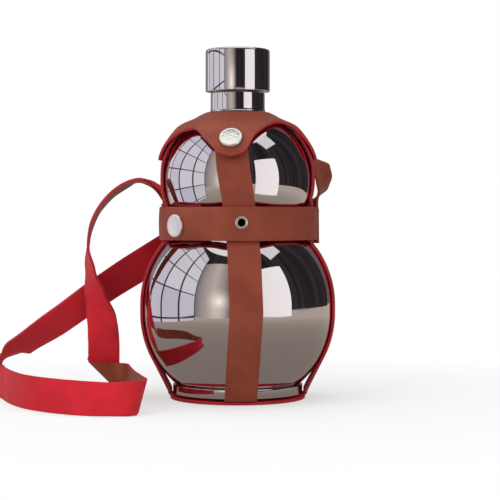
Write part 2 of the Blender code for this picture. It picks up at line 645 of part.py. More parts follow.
def collar_outline():
    """Edge of the collar round the bulb as (azimuth, polar) points, from the front cut's right end."""
    cut = FLAP_CUT - GAP / (2 * UPPER_RADIUS)
    distance = collar_distance(FLAP_CUT)
    ends = {side: as_angles(on_flap(FLAP_CENTRE + side * FLAP_HALF, cut, distance)) for side in (1, -1)}
    outline = [ends[1]]
    mid_right = (math.pi / 4, ARCH_POLAR_RIGHT)
    for along, drop in FLAP_ARCH_SHARES:
        outline.append((mix(ends[1][0], mid_right[0], along), mix(mid_right[1], ends[1][1], drop)))
    lobes = ((1, ARCH_POLAR_RIGHT, ARCH_POLAR_BACK), (2, ARCH_POLAR_BACK, ARCH_POLAR_BACK),
             (3, ARCH_POLAR_BACK, ARCH_POLAR_LEFT))
    for place, before, after in lobes:
        centre = place * math.pi / 2
        outline += list(reversed(lobe_edge(centre, before, -1)))
        outline += lobe_edge(centre, after, 1)[1:-1]
    outline.append((math.tau - math.pi / 4, ARCH_POLAR_LEFT))
    mid_left = (math.tau - math.pi / 4, ARCH_POLAR_LEFT)
    left_end = (math.tau + ends[-1][0], ends[-1][1])
    for along, drop in reversed(FLAP_ARCH_SHARES):
        outline.append((mix(left_end[0], mid_left[0], along), mix(mid_left[1], left_end[1], drop)))
    outline.append(left_end)
    count = round(2 * FLAP_HALF / SOCKET_RADIUS)
    for step in range(1, count):
        side = FLAP_CENTRE + FLAP_HALF * (2 * step / count - 1)
        azimuth, polar = as_angles(on_flap(side, cut, distance))
        outline.append((math.tau + azimuth, polar))
    return outline


def make_collar():
    """Leather collar round the neck, with a lobe over each side strap and the back strap."""
    outline = collar_outline()
    count = len(outline)
    first = outline[0][0]
    spread = [0]
    closed = outline + [(first + math.tau, outline[0][1])]
    for (azimuth, polar), (following, lower) in zip(closed, closed[1:]):
        spread.append(spread[-1] + math.hypot(following - azimuth, (lower - polar) / 2))
    sections = []
    for index, (azimuth, polar) in enumerate(outline):
        even = first + math.tau * spread[index] / spread[count]
        hole = mix(azimuth, even, 0.5)
        outer = []
        inner = []
        for row in range(COLLAR_ROWS + 1):
            share = row / COLLAR_ROWS
            turn = mix(hole, azimuth, share)
            tilt = mix(HOLE_POLAR, polar, share)
            distance = collar_distance(tilt)
            outer.append(on_collar(turn, tilt, distance + LEATHER))
            inner.append(on_collar(turn, tilt, distance))
        sections.append(outer + inner[::-1])
    as_object("collar", lofted(sections, closed=True), BROWN)


def make_collar_flap(flap_pivot):
    """Front lobe of the collar, which the snap holds."""
    start = FLAP_CUT + GAP / (2 * UPPER_RADIUS)
    sections = []
    across = (0, 0.25, 0.5, 0.75, 1)
    for place, left, right in FLAP_OUTLINE_SHARES:
        angle = mix(start, FLAP_REACH, place)
        distance = flap_distance(angle)
        sides = [FLAP_CENTRE + FLAP_HALF * mix(left, right, share) for share in across]
        ring = [on_flap(side, angle, distance + LEATHER) for side in sides]
        ring += [on_flap(side, angle, distance) for side in reversed(sides)]
        sections.append(ring)
    return as_object("collar_front_flap", lofted(sections), BROWN, flap_pivot)


def facing(place, outward):
    """Matrix at a place with its Z axis along a direction."""
    return Matrix.Translation(place) @ outward.to_track_quat("Z", "Y").to_matrix().to_4x4()


def cutter(name, matrix, radius, bottom, top):
    """Cylinder that cuts a hole along the Z axis of a matrix."""
    section = [(0, top), (radius, top), (radius, bottom), (0, bottom)]
    thing = as_object(name, turned(section, EYELET_STEPS), BRIGHT, None, matrix)
    thing.hide_render = True
    thing.display_type = "WIRE"
    return thing


def cut(thing, tool):
    """Cut a hole in a piece of leather."""
    hole = thing.modifiers.new("hole", "BOOLEAN")
    hole.operation = "DIFFERENCE"
    hole.solver = "EXACT"
    hole.object = tool


def make_snap(prefix, matrix, flap, carrier, parent):
    """Cap and socket on the flap, stud and post on the leather behind it."""
    face = SNAP_STACK + LEATHER
    under = face + GAP
    dish = under - SNAP_CAP_DISH
    top = under + SNAP_CAP_HEIGHT
    shank_end = KNOB_TOP + GAP
    section = [(0, top), (SNAP_CAP_RADIUS - SNAP_CAP_RIM, top), (SNAP_CAP_RADIUS, top - SNAP_CAP_RIM)]
    section += [(SNAP_CAP_RADIUS, dish), (SNAP_SHANK, under), (SNAP_SHANK, shank_end), (0, shank_end)]
    as_object(prefix + "_cap", turned(section, SNAP_STEPS), BRIGHT, parent, matrix)

    seat = SNAP_STACK - SOCKET_SEAT
    lip = SOCKET_RADIUS - STUD_FLANGE
    section = [(SOCKET_BORE, seat), (lip, seat), (SOCKET_RADIUS, seat - STUD_FLANGE)]
    section += [(SOCKET_RADIUS, seat - SOCKET_THICKNESS), (SOCKET_BORE, seat - SOCKET_THICKNESS)]
    as_object(prefix + "_socket", turned(section, SNAP_STEPS), BRIGHT, parent, matrix)

    flange = GAP + STUD_FLANGE
    section = [(0, KNOB_TOP), (KNOB_RADIUS - GAP, KNOB_TOP), (KNOB_RADIUS, KNOB_TOP - GAP)]
    section += [(KNOB_RADIUS, flange), (STUD_RADIUS, flange), (STUD_RADIUS, GAP), (STUD_BORE, GAP)]
    section += [(STUD_BORE, KNOB_TOP - 2 * GAP), (0, KNOB_TOP - 2 * GAP)]
    as_object(prefix + "_stud", turned(section, SNAP_STEPS), BRIGHT, None, matrix)

    head = -LEATHER - 2 * GAP
    section = [(0, KNOB_TOP - 3 * GAP), (POST_SHANK, KNOB_TOP - 3 * GAP), (POST_SHANK, head)]
    section += [(POST_RADIUS, head), (POST_RADIUS, head - POST_HEAD), (0, head - POST_HEAD)]
    as_object(prefix + "_post", turned(section, SNAP_STEPS), BRIGHT, None, matrix)

    flap_hole = cutter(prefix + "_flap_cut", matrix, SNAP_SHANK + GAP, SNAP_STACK - OVERRUN, face + OVERRUN)
    cut(flap, flap_hole)
    stud_hole = cutter(prefix + "_stud_cut", matrix, POST_SHANK + GAP, -LEATHER - OVERRUN, OVERRUN)
    cut(carrier, stud_hole)


def make_eyelet(name, azimuth, height, outer, inner, pieces):
    """Eyelet through every layer of leather between two radii."""
    matrix = facing(around(azimuth, outer, height), around(azimuth, 1, 0))
    top = GAP + EYELET_PLATE
    bottom = inner - outer - GAP - EYELET_SEAT
    barrel = EYELET_HOLE + EYELET_WALL
    section = [(EYELET_HOLE, top), (EYELET_FLANGE - EYELET_SEAT, top), (EYELET_FLANGE, top - EYELET_SEAT)]
    section += [(EYELET_FLANGE, GAP), (barrel, GAP), (barrel, bottom), (EYELET_FLANGE, bottom)]
    section += [(EYELET_FLANGE, bottom - EYELET_PLATE), (EYELET_HOLE, bottom - EYELET_PLATE)]
    as_object(name, turned(section, EYELET_STEPS), BRIGHT, None, matrix)
    tool = cutter(name + "_cut", matrix, barrel + GAP, bottom + GAP - OVERRUN, OVERRUN)
    for piece in pieces:
        cut(piece, tool)


def route_place(row):
    """Place of a route row, moved with the belt and kept off the straps of the lower bulb."""
    place = Vector(row[:3])
    share = smooth_share(place.z, ROUTE_FLOOR, ROUTE_BELT_BOTTOM)
    height = place.z + share * (BELT_BOTTOM - ROUTE_BELT_BOTTOM)
    reach = math.hypot(place.x, place.y)
    moved = reach + BELT_BACK - ROUTE_BELT_BACK
    above = abs(height - LOWER_TOP_CENTRE)
    over = LOWER_RADIUS + STRAP_STAND + LEATHER + SOFT_GAP + LEATHER / 2
    if above < over:
        moved = max(moved, math.sqrt(over ** 2 - above ** 2))
    return Vector((place.x * moved / reach, place.y * moved / reach, height))


def route_frames():
    """Centre, half width vector and normal at even steps along the shoulder strap's route."""
    places = [route_place(row) for row in STRAP_ROUTE]
    widths = [Vector(row[3:6]).normalized() for row in STRAP_ROUTE]
    skews = [row[6] for row in STRAP_ROUTE]
    slopes = []
    last = len(places) - 1
    for index in range(last + 1):
        before = places[max(0, index - 1)]
        after = places[min(last, index + 1)]
        slopes.append((after - before).normalized())
    frames = []
    for index in range(last):
        length = (places[index + 1] - places[index]).length
        pieces = max(1, round(length / ROUTE_STEP))
        ends = (pieces + 1) if index == last - 1 else pieces
        for piece in range(ends):
            share = piece / pieces
            square, cube = share * share, share ** 3
            place = places[index] * (2 * cube - 3 * square + 1) + places[index + 1] * (3 * square - 2 * cube)
            place += slopes[index] * (cube - 2 * square + share) * length
            place += slopes[index + 1] * (cube - square) * length
            slope = (places[index] - places[index + 1]) * (6 * square - 6 * share)
            slope += slopes[index] * length * (3 * square - 4 * share + 1)
            slope += slopes[index + 1] * length * (3 * square - 2 * share)
            slope.normalize()
            width = mix(widths[index], widths[index + 1], share)
            width = (width - slope * width.dot(slope)).normalized()
            skew = mix(skews[index], skews[index + 1], share)
            half = (width + slope * skew) * STRAP_WIDTH / 2
            frames.append((place, half, slope.cross(width)))
    return frames


def make_shoulder_strap():
    """Loose shoulder strap, riveted to the belt at both ends."""
    sections = []
    for place, half, normal in route_frames():
        rise = normal * LEATHER / 2
        sections.append([place - half + rise, place + half + rise, place + half - rise, place - half - rise])
    return as_object("shoulder_strap", lofted(sections), RED)


def make_fasteners(belt, belt_flap, straps, collar_flap, shoulder, pivots):
    """Snaps and eyelets, with the holes that they need."""
    place = on_flap(COLLAR_SNAP_OFFSET, COLLAR_SNAP_POLAR, strap_outer_distance())
    rise = (place.z - UPPER_CENTRE) / TOP_FLATNESS ** 2
    outward = Vector((place.x, place.y, rise)).normalized()
    make_snap("collar_snap", facing(place, outward), collar_flap, straps["front"], pivots["collar"])
    place = around(BELT_SNAP_AZIMUTH, BELT_TUCKED + LEATHER, BELT_MIDDLE + BELT_SNAP_OFFSET)
    outward = around(BELT_SNAP_AZIMUTH, 1, 0)
    make_snap("belt_snap", facing(place, outward), belt_flap, belt, pivots["belt"])

    under = SOFT_GAP + LEATHER
    side_height = BELT_MIDDLE + SIDE_EYELET_OFFSET
    make_eyelet("eyelet_front", FRONT_EYELET, BELT_MIDDLE + FRONT_EYELET_OFFSET, BELT_LOOSE + LEATHER,
                BELT_LOOSE - under, (belt, straps["front"]))
    make_eyelet("eyelet_back", math.pi, side_height, BELT_BACK + LEATHER,
                BELT_BACK - under, (belt, straps["back"]))
    doubled = 2 * LEATHER + GAP
    for name, azimuth, turn in (("eyelet_right", RIGHT_EYELET, RIGHT_EYELET - math.tau),
                                ("eyelet_left", LEFT_EYELET, LEFT_EYELET)):
        inner = belt_inner(turn)
        make_eyelet(name, azimuth, side_height, inner + doubled, inner, (belt, shoulder))


def main():
    clear_scene()
    hinge_reach = collar_distance(FLAP_CUT) + LEATHER
    belt_reach = BELT_LOOSE + LEATHER
    pivots = {
        "lift": pivot("cap_lift_axis", (0, 0, CAP_BOTTOM)),
        "turn": pivot("cap_turn_axis", (0, 0, CAP_BOTTOM)),
        "collar": pivot("collar_hinge", on_flap(0, FLAP_CUT, hinge_reach)),
        "belt": pivot("belt_hinge", around(BELT_HINGE, belt_reach, BELT_BOTTOM)),
    }
    make_lower_bulb()
    make_upper_bulb()
    make_neck()
    make_foot_ring()
    make_cap(pivots["lift"], pivots["turn"])
    make_base_disc()
    straps = make_straps()
    belt, belt_flap = make_belt(pivots["belt"])
    make_collar()
    collar_flap = make_collar_flap(pivots["collar"])
    shoulder = make_shoulder_strap()
    make_fasteners(belt, belt_flap, straps, collar_flap, shoulder, pivots)


if __name__ == "__main__":
    main()
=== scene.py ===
"""Dress the gourd-shaped bottle: polished steel, leather harness, fasteners, strap and stage.

Metres, +Z up, the front towards -Y. An azimuth is measured from the front, positive towards +X.
"""
import json
import math

import bmesh
import bpy
from bpy.props import FloatProperty, FloatVectorProperty, PointerProperty
from mathutils import Matrix, Vector

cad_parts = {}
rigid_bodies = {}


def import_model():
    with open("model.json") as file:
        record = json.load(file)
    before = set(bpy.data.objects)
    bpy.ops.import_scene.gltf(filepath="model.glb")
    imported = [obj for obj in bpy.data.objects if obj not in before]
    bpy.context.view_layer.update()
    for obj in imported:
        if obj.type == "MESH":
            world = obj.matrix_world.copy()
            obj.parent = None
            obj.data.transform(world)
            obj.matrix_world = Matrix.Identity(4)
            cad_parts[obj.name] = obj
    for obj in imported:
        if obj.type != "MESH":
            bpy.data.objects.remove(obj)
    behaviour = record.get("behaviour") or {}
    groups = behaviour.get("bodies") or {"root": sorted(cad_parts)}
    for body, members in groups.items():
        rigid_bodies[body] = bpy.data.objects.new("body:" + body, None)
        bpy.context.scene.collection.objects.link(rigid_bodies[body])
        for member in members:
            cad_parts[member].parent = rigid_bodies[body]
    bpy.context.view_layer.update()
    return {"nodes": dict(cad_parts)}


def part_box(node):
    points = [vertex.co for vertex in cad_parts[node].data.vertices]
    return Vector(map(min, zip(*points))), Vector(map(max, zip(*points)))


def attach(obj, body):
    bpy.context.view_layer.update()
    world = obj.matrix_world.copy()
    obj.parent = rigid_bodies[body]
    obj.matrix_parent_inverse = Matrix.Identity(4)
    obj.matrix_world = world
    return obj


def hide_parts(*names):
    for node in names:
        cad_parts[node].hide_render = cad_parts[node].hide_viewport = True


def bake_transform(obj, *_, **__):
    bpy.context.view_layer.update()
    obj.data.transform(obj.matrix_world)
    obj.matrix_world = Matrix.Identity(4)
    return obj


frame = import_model()

bl_info = {
    "name": "Gourd Bottle",
    "version": (1, 0, 0),
    "blender": (4, 5, 0),
    "location": "View3D > Sidebar > Bottle",
    "description": "Steel gourd bottle in a leather harness with a loose shoulder strap",
    "category": "Object",
}

BOXES = {name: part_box(name) for name in frame["nodes"]}

# Clearances between the pieces
GAP = 0.0003
SOFT_GAP = 0.00035

# Heights, radii and thread of the bottle
OVERALL = BOXES["cap_shell"][1][2]
BASE_CUT = 0.0065
DISH_RISE = 0.003
DISH_FLAT_SHARE = 0.7
DISH_DROP_SHARE = 0.8
LOWER_ARC_STEPS = (36, 30)
LOWER_INNER_STEPS = 20
UPPER_ARC_STEPS = 60
UPPER_INNER_STEPS = 30
NECK_FOOT_GROWTH = 0.0014
NECK_FLARE = 0.0031
NECK_FLARE_RISE = 0.0042
NECK_LIP = (0.0006, 0.00045)
NECK_FOOT_WALL = 0.0012
NECK_BORE_RISE = 0.005
NECK_SHOULDER = 0.2013
SHOULDER_CUT = 0.0004
NECK_BORE = 0.014
RIM_TOP = 0.222
THREAD_ROOT = 0.0156
THREAD_CREST = 0.0166
THREAD_PITCH = 0.004
THREAD_START = 0.2045
THREAD_TURNS = 3
THREAD_END = THREAD_START + THREAD_TURNS * THREAD_PITCH
THREAD_RUNOUT = 0.0013
THREAD_FADE = 0.0025
THREAD_PLAY = 0.0005
THREAD_RINGS_PER_TURN = 14
RING_WALL = 0.0013
DISC_MIDDLE_SHARE = 0.5
FACE_NORMAL = 0.9
CAP_WALL = 0.00095
CAP_TOP_SHARES = (0, 0.3, 0.6)
CAP_LOWER_ROUND = 0.0004
GASKET_BORE = 0.013
GASKET_HEIGHT = 0.002
SMALL_ROUND = 0.0003
ROUND = 0.0005
RIM_ROUND = 0.0006

# Sides of the round pieces
BODY_SIDES = 160
THREAD_SIDES = 144
GASKET_SIDES = 96
FASTENER_SIDES = 64
POST_SIDES = 48
HOLE_SIDES = 40
FLOOR_SIDES = 96

# Angles past which an edge is shaded sharp, and past which one of leather is rounded
SOFT_SHADE = math.radians(40)
SILVER_SHADE = math.radians(30)
THREAD_SHADE = math.radians(50)
SHARP_EDGE = math.radians(60)

# Straps. A reach or a range is two heights between which the shape changes, at the belt from its middle.
STRAP_UNDER_COLLAR = math.radians(39)
STRAP_UPPER_BREAK = 0.0052
STRAP_LOWER_BREAK = 0.0024
STRAP_LEAVE = math.radians(-30)
STRAP_FOOT_STAND = 0.0005
STRAP_FOOT_RADIUS = 0.0463
STRAP_FOOT_HEIGHT = 0.0049
STRAP_SKIVE_RANGE = (0.174, 0.181)
STRAP_SKIVE = 0.3
STRAP_BELT_REACH = (0.014, 0.022)
STRAP_COLLAR_REACH = (0.15, 0.165)
STRAP_FOOT_REACH = (0.004, 0.02)
STRAP_COLUMNS = 12
STRAP_ROWS = 200
UPPER_STEPS = 16
LOWER_STEPS = 8
TAB_THICKNESS = 0.0009
TAB_REACH = 0.0125
FRONT_STRAP_FLATNESS = 0.6
UPPER_STRAP_FLATNESS = 0.3
LOWER_STRAP_FLATNESS = 0.15
FRONT_LEAN_SHARES = ((0, 0.1), (0.26, 0.29), (0.42, 0.215), (0.565, 0.04), (0.65, -0.114),
                     (0.735, -0.214), (1, -0.3))

# Waist belt. Whole degrees are its turn leftwards from the front, from the tucked end to the flap.
# The table gives the inner face's radius at a turn. BELT_OVER_STRAPS alone is told rightwards.
BELT_TABLE = ((30, 0.0461), (51, 0.0461), (76, 0.0484), (110, 0.0484), (180, 0.049), (240, 0.0505),
              (360, 0.0505))
BELT_BOTTOM = BOXES["waist_belt"][0][2]
BELT_TOP = BOXES["waist_belt"][1][2]
BELT_MIDDLE = BELT_BOTTOM + (BELT_TOP - BELT_BOTTOM) * 0.5
BELT_START = math.radians(-30)
BELT_JOIN = math.radians(97)
BELT_FLAP_END = math.radians(-80)
BELT_BEND_START = math.radians(-9)
BELT_BEND_END = math.radians(-16)
BELT_CORNER = 0.004
BELT_BOW = 0.00025
BELT_SAG = 0.0005
BELT_SAG_START = math.radians(-110)
BELT_SAG_END = (395, 402)
BELT_SAG_RANGE = (11, 19)
BELT_OVER_STRAPS = (2, 90, 180, 270, 362)
BELT_HUG = 0.0032
BELT_HUG_RANGE = (10, 36)
BELT_HUG_BETWEEN = (270, 358)
BELT_HUG_END = 357
FLAP_HUG = 0.0016
FLAP_HUG_START = (370, 384)
FLAP_HUG_END = (400, 418)
BELT_ROUND_COLUMNS = 240
BELT_FRONT_COLUMNS = 200
BELT_ROWS = 14

# Collar. Polar angles are from the bottle's axis, and whole degrees are told from a lobe's middle.
HOLE_POLAR = math.radians(24)
COLLAR_STAND = 0.0004
COLLAR_RISE_START = math.radians(32)
COLLAR_RISE_END = math.radians(49)
COLLAR_BEND_START = math.radians(47)
COLLAR_BEND_END = math.radians(53)
COLLAR_COLUMNS = 480
COLLAR_ROWS = 30
FRONT_RISE_START = math.radians(46)
FRONT_RISE_BEND = 0.2
ARCH_LIFT = 0.75
SIDE_LOBE_FLATNESS = 0.95
FRONT_LOBE_FLATNESS = 0.5
LOBE_FLAT_RANGE = (math.radians(48), math.radians(68))
LOBE_FLAT_END = (24, 45)
LOBE_FLAT_LIMIT = 40
LOBE_LEAVE_RANGE = (math.radians(72), math.radians(88))

# Edge of the collar in degrees from the front lobe's tip, rightwards and round: azimuth, polar angle
COLLAR_EDGE = (
    (-3.8, 75.2), (1.7, 73.6), (5.3, 70.9), (7.7, 67.8), (9.6, 64.3), (11.6, 60.8), (14.6, 57), (19.1, 53.2),
    (26, 48.9), (33.4, 45.5), (40.5, 42.8), (47.3, 41.2), (55, 40.7), (62, 42), (67.5, 45.5), (71, 50),
    (73, 55.5), (74.3, 61), (75.5, 67), (78.5, 72), (83, 74.5), (90, 75.2), (97, 74.5), (101.5, 72),
    (104.5, 67), (106, 61), (108, 55), (112, 50.5), (119, 47.3), (127, 46), (135, 45.8), (143, 46),
    (151, 47.3), (158, 50.5), (162, 55), (164, 61), (165.5, 67), (168.5, 72), (173, 74.5), (180, 75.2),
    (187, 74.5), (191.5, 72), (194.5, 67), (196, 61), (198, 55), (202, 50.5), (209, 47.3), (217, 46),
    (225, 45.8), (233, 46), (241, 47.3), (248, 50.5), (252, 55), (254, 61), (255.5, 67), (258.5, 72),
    (263, 74.5), (270, 75.2), (277, 74.5), (281.5, 71.5), (284.5, 67), (287, 62), (290.5, 57.8), (295, 54.8),
    (300.5, 52.4), (307.5, 50.5), (315.1, 50), (321, 51.3), (326.5, 54), (332, 58), (337.6, 62.4),
    (341.8, 66.4), (345, 70), (348, 72.6), (351.6, 74.4), (356.2, 75.2),
)

# Fasteners
SNAP_STACK = 0.0028
SNAP_JOINT = 0.0015
SNAP_CAP_HEIGHT = 0.0015
SNAP_SOCKET_DROP = 0.00055
COLLAR_SNAP_POLAR = math.radians(62.6)
COLLAR_SNAP_OFFSET = -0.0036
COLLAR_SNAP_TILT = math.radians(8)
BELT_SNAP_AZIMUTH = math.radians(-48.3)
BELT_SNAP_HEIGHT = 0.1138
FRONT_EYELET = math.radians(3.1)
LEFT_EYELET = math.radians(-118)
RIGHT_EYELET = math.radians(112)
FRONT_EYELET_HEIGHT = 0.1159
SIDE_EYELET_HEIGHT = 0.117
FLANGE_HEIGHT = 0.0005
BARREL_WALL = 0.0004
SNAP_HOLE = 0.0017
POST_HOLE = 0.0012
HOLE_MARGIN = 0.0006

# Shoulder strap
ROUTE_STEP = 0.002
LOOSE_COLUMNS = 8
BROWN_END_ROWS = 32

# Shoulder strap route from its left end to its right end: centre, width direction, skew share
STRAP_ROUTE = (
    (-0.0456, 0.0242, 0.1018, -0.469, -0.883, 0, 0),
    (-0.0454, 0.0241, 0.1055, -0.469, -0.883, 0, 0),
    (-0.0454, 0.0241, 0.1150, -0.469, -0.883, 0, 0),
    (-0.0454, 0.0241, 0.1250, -0.469, -0.883, 0, 0),
    (-0.0478, 0.0246, 0.1310, -0.43, -0.9, 0, 0),
    (-0.0530, 0.0215, 0.1365, -0.25, -0.97, 0, 0),
    (-0.0602, 0.0150, 0.1412, -0.1, -0.99, 0, 0),
    (-0.0680, 0.0090, 0.143, 0, -1, 0.08, 0),
    (-0.0780, 0.0080, 0.1385, 0, -1, 0.12, 0),
    (-0.0880, 0.0090, 0.130, 0, -1, 0.08, 0),
    (-0.0960, 0.0105, 0.118, 0, -1, 0, 0),
    (-0.1000, 0.0120, 0.102, 0.08, -1, 0, 0),
    (-0.0990, 0.0140, 0.084, 0.35, -0.93, 0, 0),
    (-0.0955, 0.0155, 0.066, 0.7, -0.7, 0, 0),
    (-0.0915, 0.0165, 0.050, 0.95, -0.3, 0, 0),
    (-0.0903, 0.0170, 0.036, 1, -0.05, 0, 0.1),
    (-0.0902, 0.0170, 0.026, 1, 0, 0, 0.6),
    (-0.0902, 0.0170, 0.0168, 1, 0, 0, 1),
    (-0.09006, 0.01624, 0.01406, 0.854, 0.5, -0.146, 1),
    (-0.08915, 0.0144, 0.01207, 0.5, 0.707, -0.5, 1),
    (-0.08717, 0.01256, 0.01117, 0.146, 0.5, -0.854, 1),
    (-0.0844, 0.0118, 0.011, 0, 0, -1, 1),
    (-0.0795, 0.0117, 0.0109, 0, 0, -1, 0.75),
    (-0.0755, 0.0098, 0.0109, 0, 0, -1, 0.45),
    (-0.0733, 0.0055, 0.0109, 0, 0, -1, 0.25),
    (-0.0722, -0.002, 0.0109, 0, 0, -1, 0.1),
    (-0.0702, -0.014, 0.0109, 0, 0, -1, 0),
    (-0.0660, -0.038, 0.0109, 0, 0, -1, 0),
    (-0.0610, -0.064, 0.0109, -0.1, 0, -1, 0),
    (-0.0580, -0.080, 0.0107, -0.25, 0, -0.97, 0),
    (-0.0590, -0.0882, 0.0105, -0.3, -0.1, -0.95, 0),
    (-0.0645, -0.0925, 0.0101, -0.2, -0.35, -0.91, 0),
    (-0.0760, -0.0935, 0.0099, 0, -0.45, -0.89, 0),
    (-0.0920, -0.0915, 0.0102, 0, -0.35, -0.93, 0),
    (-0.1080, -0.0855, 0.0107, 0, -0.15, -0.98, 0),
    (-0.1220, -0.0745, 0.0109, 0, 0, -1, 0),
    (-0.1340, -0.0590, 0.0109, 0, 0, -1, 0),
    (-0.1450, -0.0360, 0.0109, 0, 0, -1, 0),
    (-0.1540, -0.0100, 0.0109, 0, 0, -1, 0),
    (-0.1615, 0.0090, 0.0111, 0.12, 0.05, -1, 0),
    (-0.1690, 0.0260, 0.0116, 0.5, 0.15, -0.85, 0),
    (-0.1720, 0.0400, 0.0135, 0.95, 0, -0.25, 0),
    (-0.1675, 0.0500, 0.0175, 0.8, -0.58, 0.05, 0),
    (-0.1590, 0.0490, 0.0235, 0.25, -0.9, 0.35, 0),
    (-0.1490, 0.0430, 0.0305, -0.2, -0.75, 0.6, 0),
    (-0.1214, 0.0350, 0.049, -0.45, -0.53, 0.7, 0),
    (-0.0905, 0.0320, 0.071, -0.5, -0.4, 0.75, 0),
    (-0.0600, 0.0370, 0.0905, -0.5, -0.1, 0.8, 0),
    (-0.0410, 0.0470, 0.1020, -0.4, 0.1, 0.9, 0),
    (-0.0200, 0.0555, 0.1110, -0.25, 0.05, 0.97, 0),
    (0, 0.0585, 0.1165, -0.12, 0, 0.99, 0),
    (0.0190, 0.0570, 0.1300, -0.25, -0.05, 0.97, 0),
    (0.0330, 0.0505, 0.1445, -0.4, -0.25, 0.88, 0),
    (0.0430, 0.0430, 0.1545, -0.55, -0.55, 0.63, 0),
    (0.0500, 0.0345, 0.1590, -0.6, -0.75, 0.25, 0),
    (0.0545, 0.0260, 0.1560, -0.6, -0.8, 0.05, 0),
    (0.0568, 0.0225, 0.1490, -0.6, -0.8, 0, 0),
    (0.0568, 0.0208, 0.1410, -0.4, -0.916, 0, 0),
    (0.0540, 0.0203, 0.1335, -0.05, -0.99, 0, 0),
    (0.0507, 0.0202, 0.1280, 0.25, -0.97, 0, 0),
    (0.0496, 0.0200, 0.1235, 0.375, -0.927, 0, 0),
    (0.0496, 0.0200, 0.1115, 0.375, -0.927, 0, 0),
    (0.0496, 0.0200, 0.1055, 0.375, -0.927, 0, 0),
    (0.0498, 0.0201, 0.1018, 0.375, -0.927, 0, 0),
)


def paint(red, green, blue):
    """Linear colour of an 8-bit display colour."""
    return tuple(((part / 255 + 0.055) / 1.055) ** 2.4 for part in (red, green, blue))


def size(name, description, default):
    """A length that a user may change."""
    return FloatProperty(name=name, description=description, default=default, unit="LENGTH", precision=5)


def colour(name, description, default):
    """A colour that a user may change."""
    return FloatVectorProperty(name=name, description=description, default=default, subtype="COLOR",
                               size=3, min=0, max=1)


class BottleSizes(bpy.types.PropertyGroup):
    """Sizes of the steel bottle"""

    lower_radius: size("Lower bulb", "Radius of the lower bulb", BOXES["bottle_lower_bulb"][1].x)
    lower_centre: size("Lower centre", "Height of the lower arc's centre", 0.0565)
    lower_straight: size("Lower straight", "Height between the lower bulb's two arcs", 0.0052)
    upper_radius: size("Upper bulb", "Radius of the upper bulb", BOXES["bottle_upper_bulb"][1].x)
    upper_centre: size("Upper centre", "Height of the upper bulb's centre", 0.1438)
    upper_top: size("Upper top", "Reach of the flatter top of the upper bulb", 0.0466)
    wall: size("Steel wall", "Thickness of the steel", 0.001)
    neck_radius: size("Neck", "Outer radius of the neck", 0.0179)
    cap_radius: size("Cap", "Outer radius of the cap", BOXES["cap_shell"][1].x)
    cap_round: size("Cap edge", "Rounding of the cap's top edge", 0.0017)


class HarnessSizes(bpy.types.PropertyGroup):
    """Sizes of the leather harness and its fasteners"""

    leather: size("Leather", "Thickness of the leather", 0.0018)
    strap_width: size("Strap width", "Width of the straps", 0.021)
    strap_stand: size("Strap stand", "Space between the front strap and the steel", 0.0012)
    side_stand: size("Side strap stand", "Space between the other straps and the steel", 0.0003)
    edge_round: size("Edge rounding", "Rounding of the leather's cut edges", 0.00035)
    snap_radius: size("Snap cap", "Radius of the snap caps", 0.00735)
    eyelet_radius: size("Eyelet", "Outer radius of the eyelets", 0.0041)
    eyelet_hole: size("Eyelet hole", "Radius of the eyelets' hole", 0.0025)


class FinishColours(bpy.types.PropertyGroup):
    """Colours of the finishes"""

    steel: colour("Steel", "Polished steel", (0.66, 0.64, 0.65))
    silver: colour("Silver", "Snap caps and eyelets", (0.97, 0.95, 0.9))
    brown: colour("Brown leather", "Outer face of the leather", paint(138, 60, 38))
    red: colour("Red leather", "Inner face of the leather", paint(205, 14, 36))
    edge: colour("Cut edge", "Painted edges of the leather", paint(182, 26, 42))


# Geometry shared by the pieces

def around(azimuth, radius, height):
    """Point at an azimuth from the front, a radius from the axis and a height."""
    return Vector((radius * math.sin(azimuth), -radius * math.cos(azimuth), height))


def mix(start, end, share):
    return start + (end - start) * share


def smooth_share(value, start, end):
    """Rise from 0 at start to 1 at end with level ends."""
    share = min(1, max(0, (value - start) / (end - start)))
    return share * share * (3 - 2 * share)


def along_table(table, place):
    """Read a table of (place, value) pairs with straight lines between them."""
    for (here, value), (there, following) in zip(table, table[1:]):
        if place <= there:
            return mix(value, following, max(0, place - here) / (there - here))
    return table[-1][1]


def arc(centre, radius, start, end, count):
    """Points (radius from the axis, height) on a circle whose centre lies on the axis."""
    angles = (mix(start, end, step / count) for step in range(count + 1))
    return [(radius * math.cos(angle), centre + radius * math.sin(angle)) for angle in angles]


def corner(centre, radius, start, end, count=5):
    """Points (radius from the axis, height) on a small arc round a centre, angles in degrees."""
    points = []
    for step in range(count + 1):
        angle = math.radians(mix(start, end, step / count))
        points.append((centre[0] + radius * math.cos(angle), centre[1] + radius * math.sin(angle)))
    return points


def curve_slopes(points):
    """Tangents of a smooth curve through given points."""
    last = len(points) - 1
    return [(points[min(last, i + 1)] - points[max(0, i - 1)]).normalized() for i in range(last + 1)]


def curve_place(points, slopes, i, share):
    """Place on the curve at a share of the way from point i to the next one."""
    length = (points[i + 1] - points[i]).length
    square, cube = share * share, share ** 3
    place = points[i] * (2 * cube - 3 * square + 1) + points[i + 1] * (3 * square - 2 * cube)
    return place + (slopes[i] * (cube - 2 * square + share) + slopes[i + 1] * (cube - square)) * length


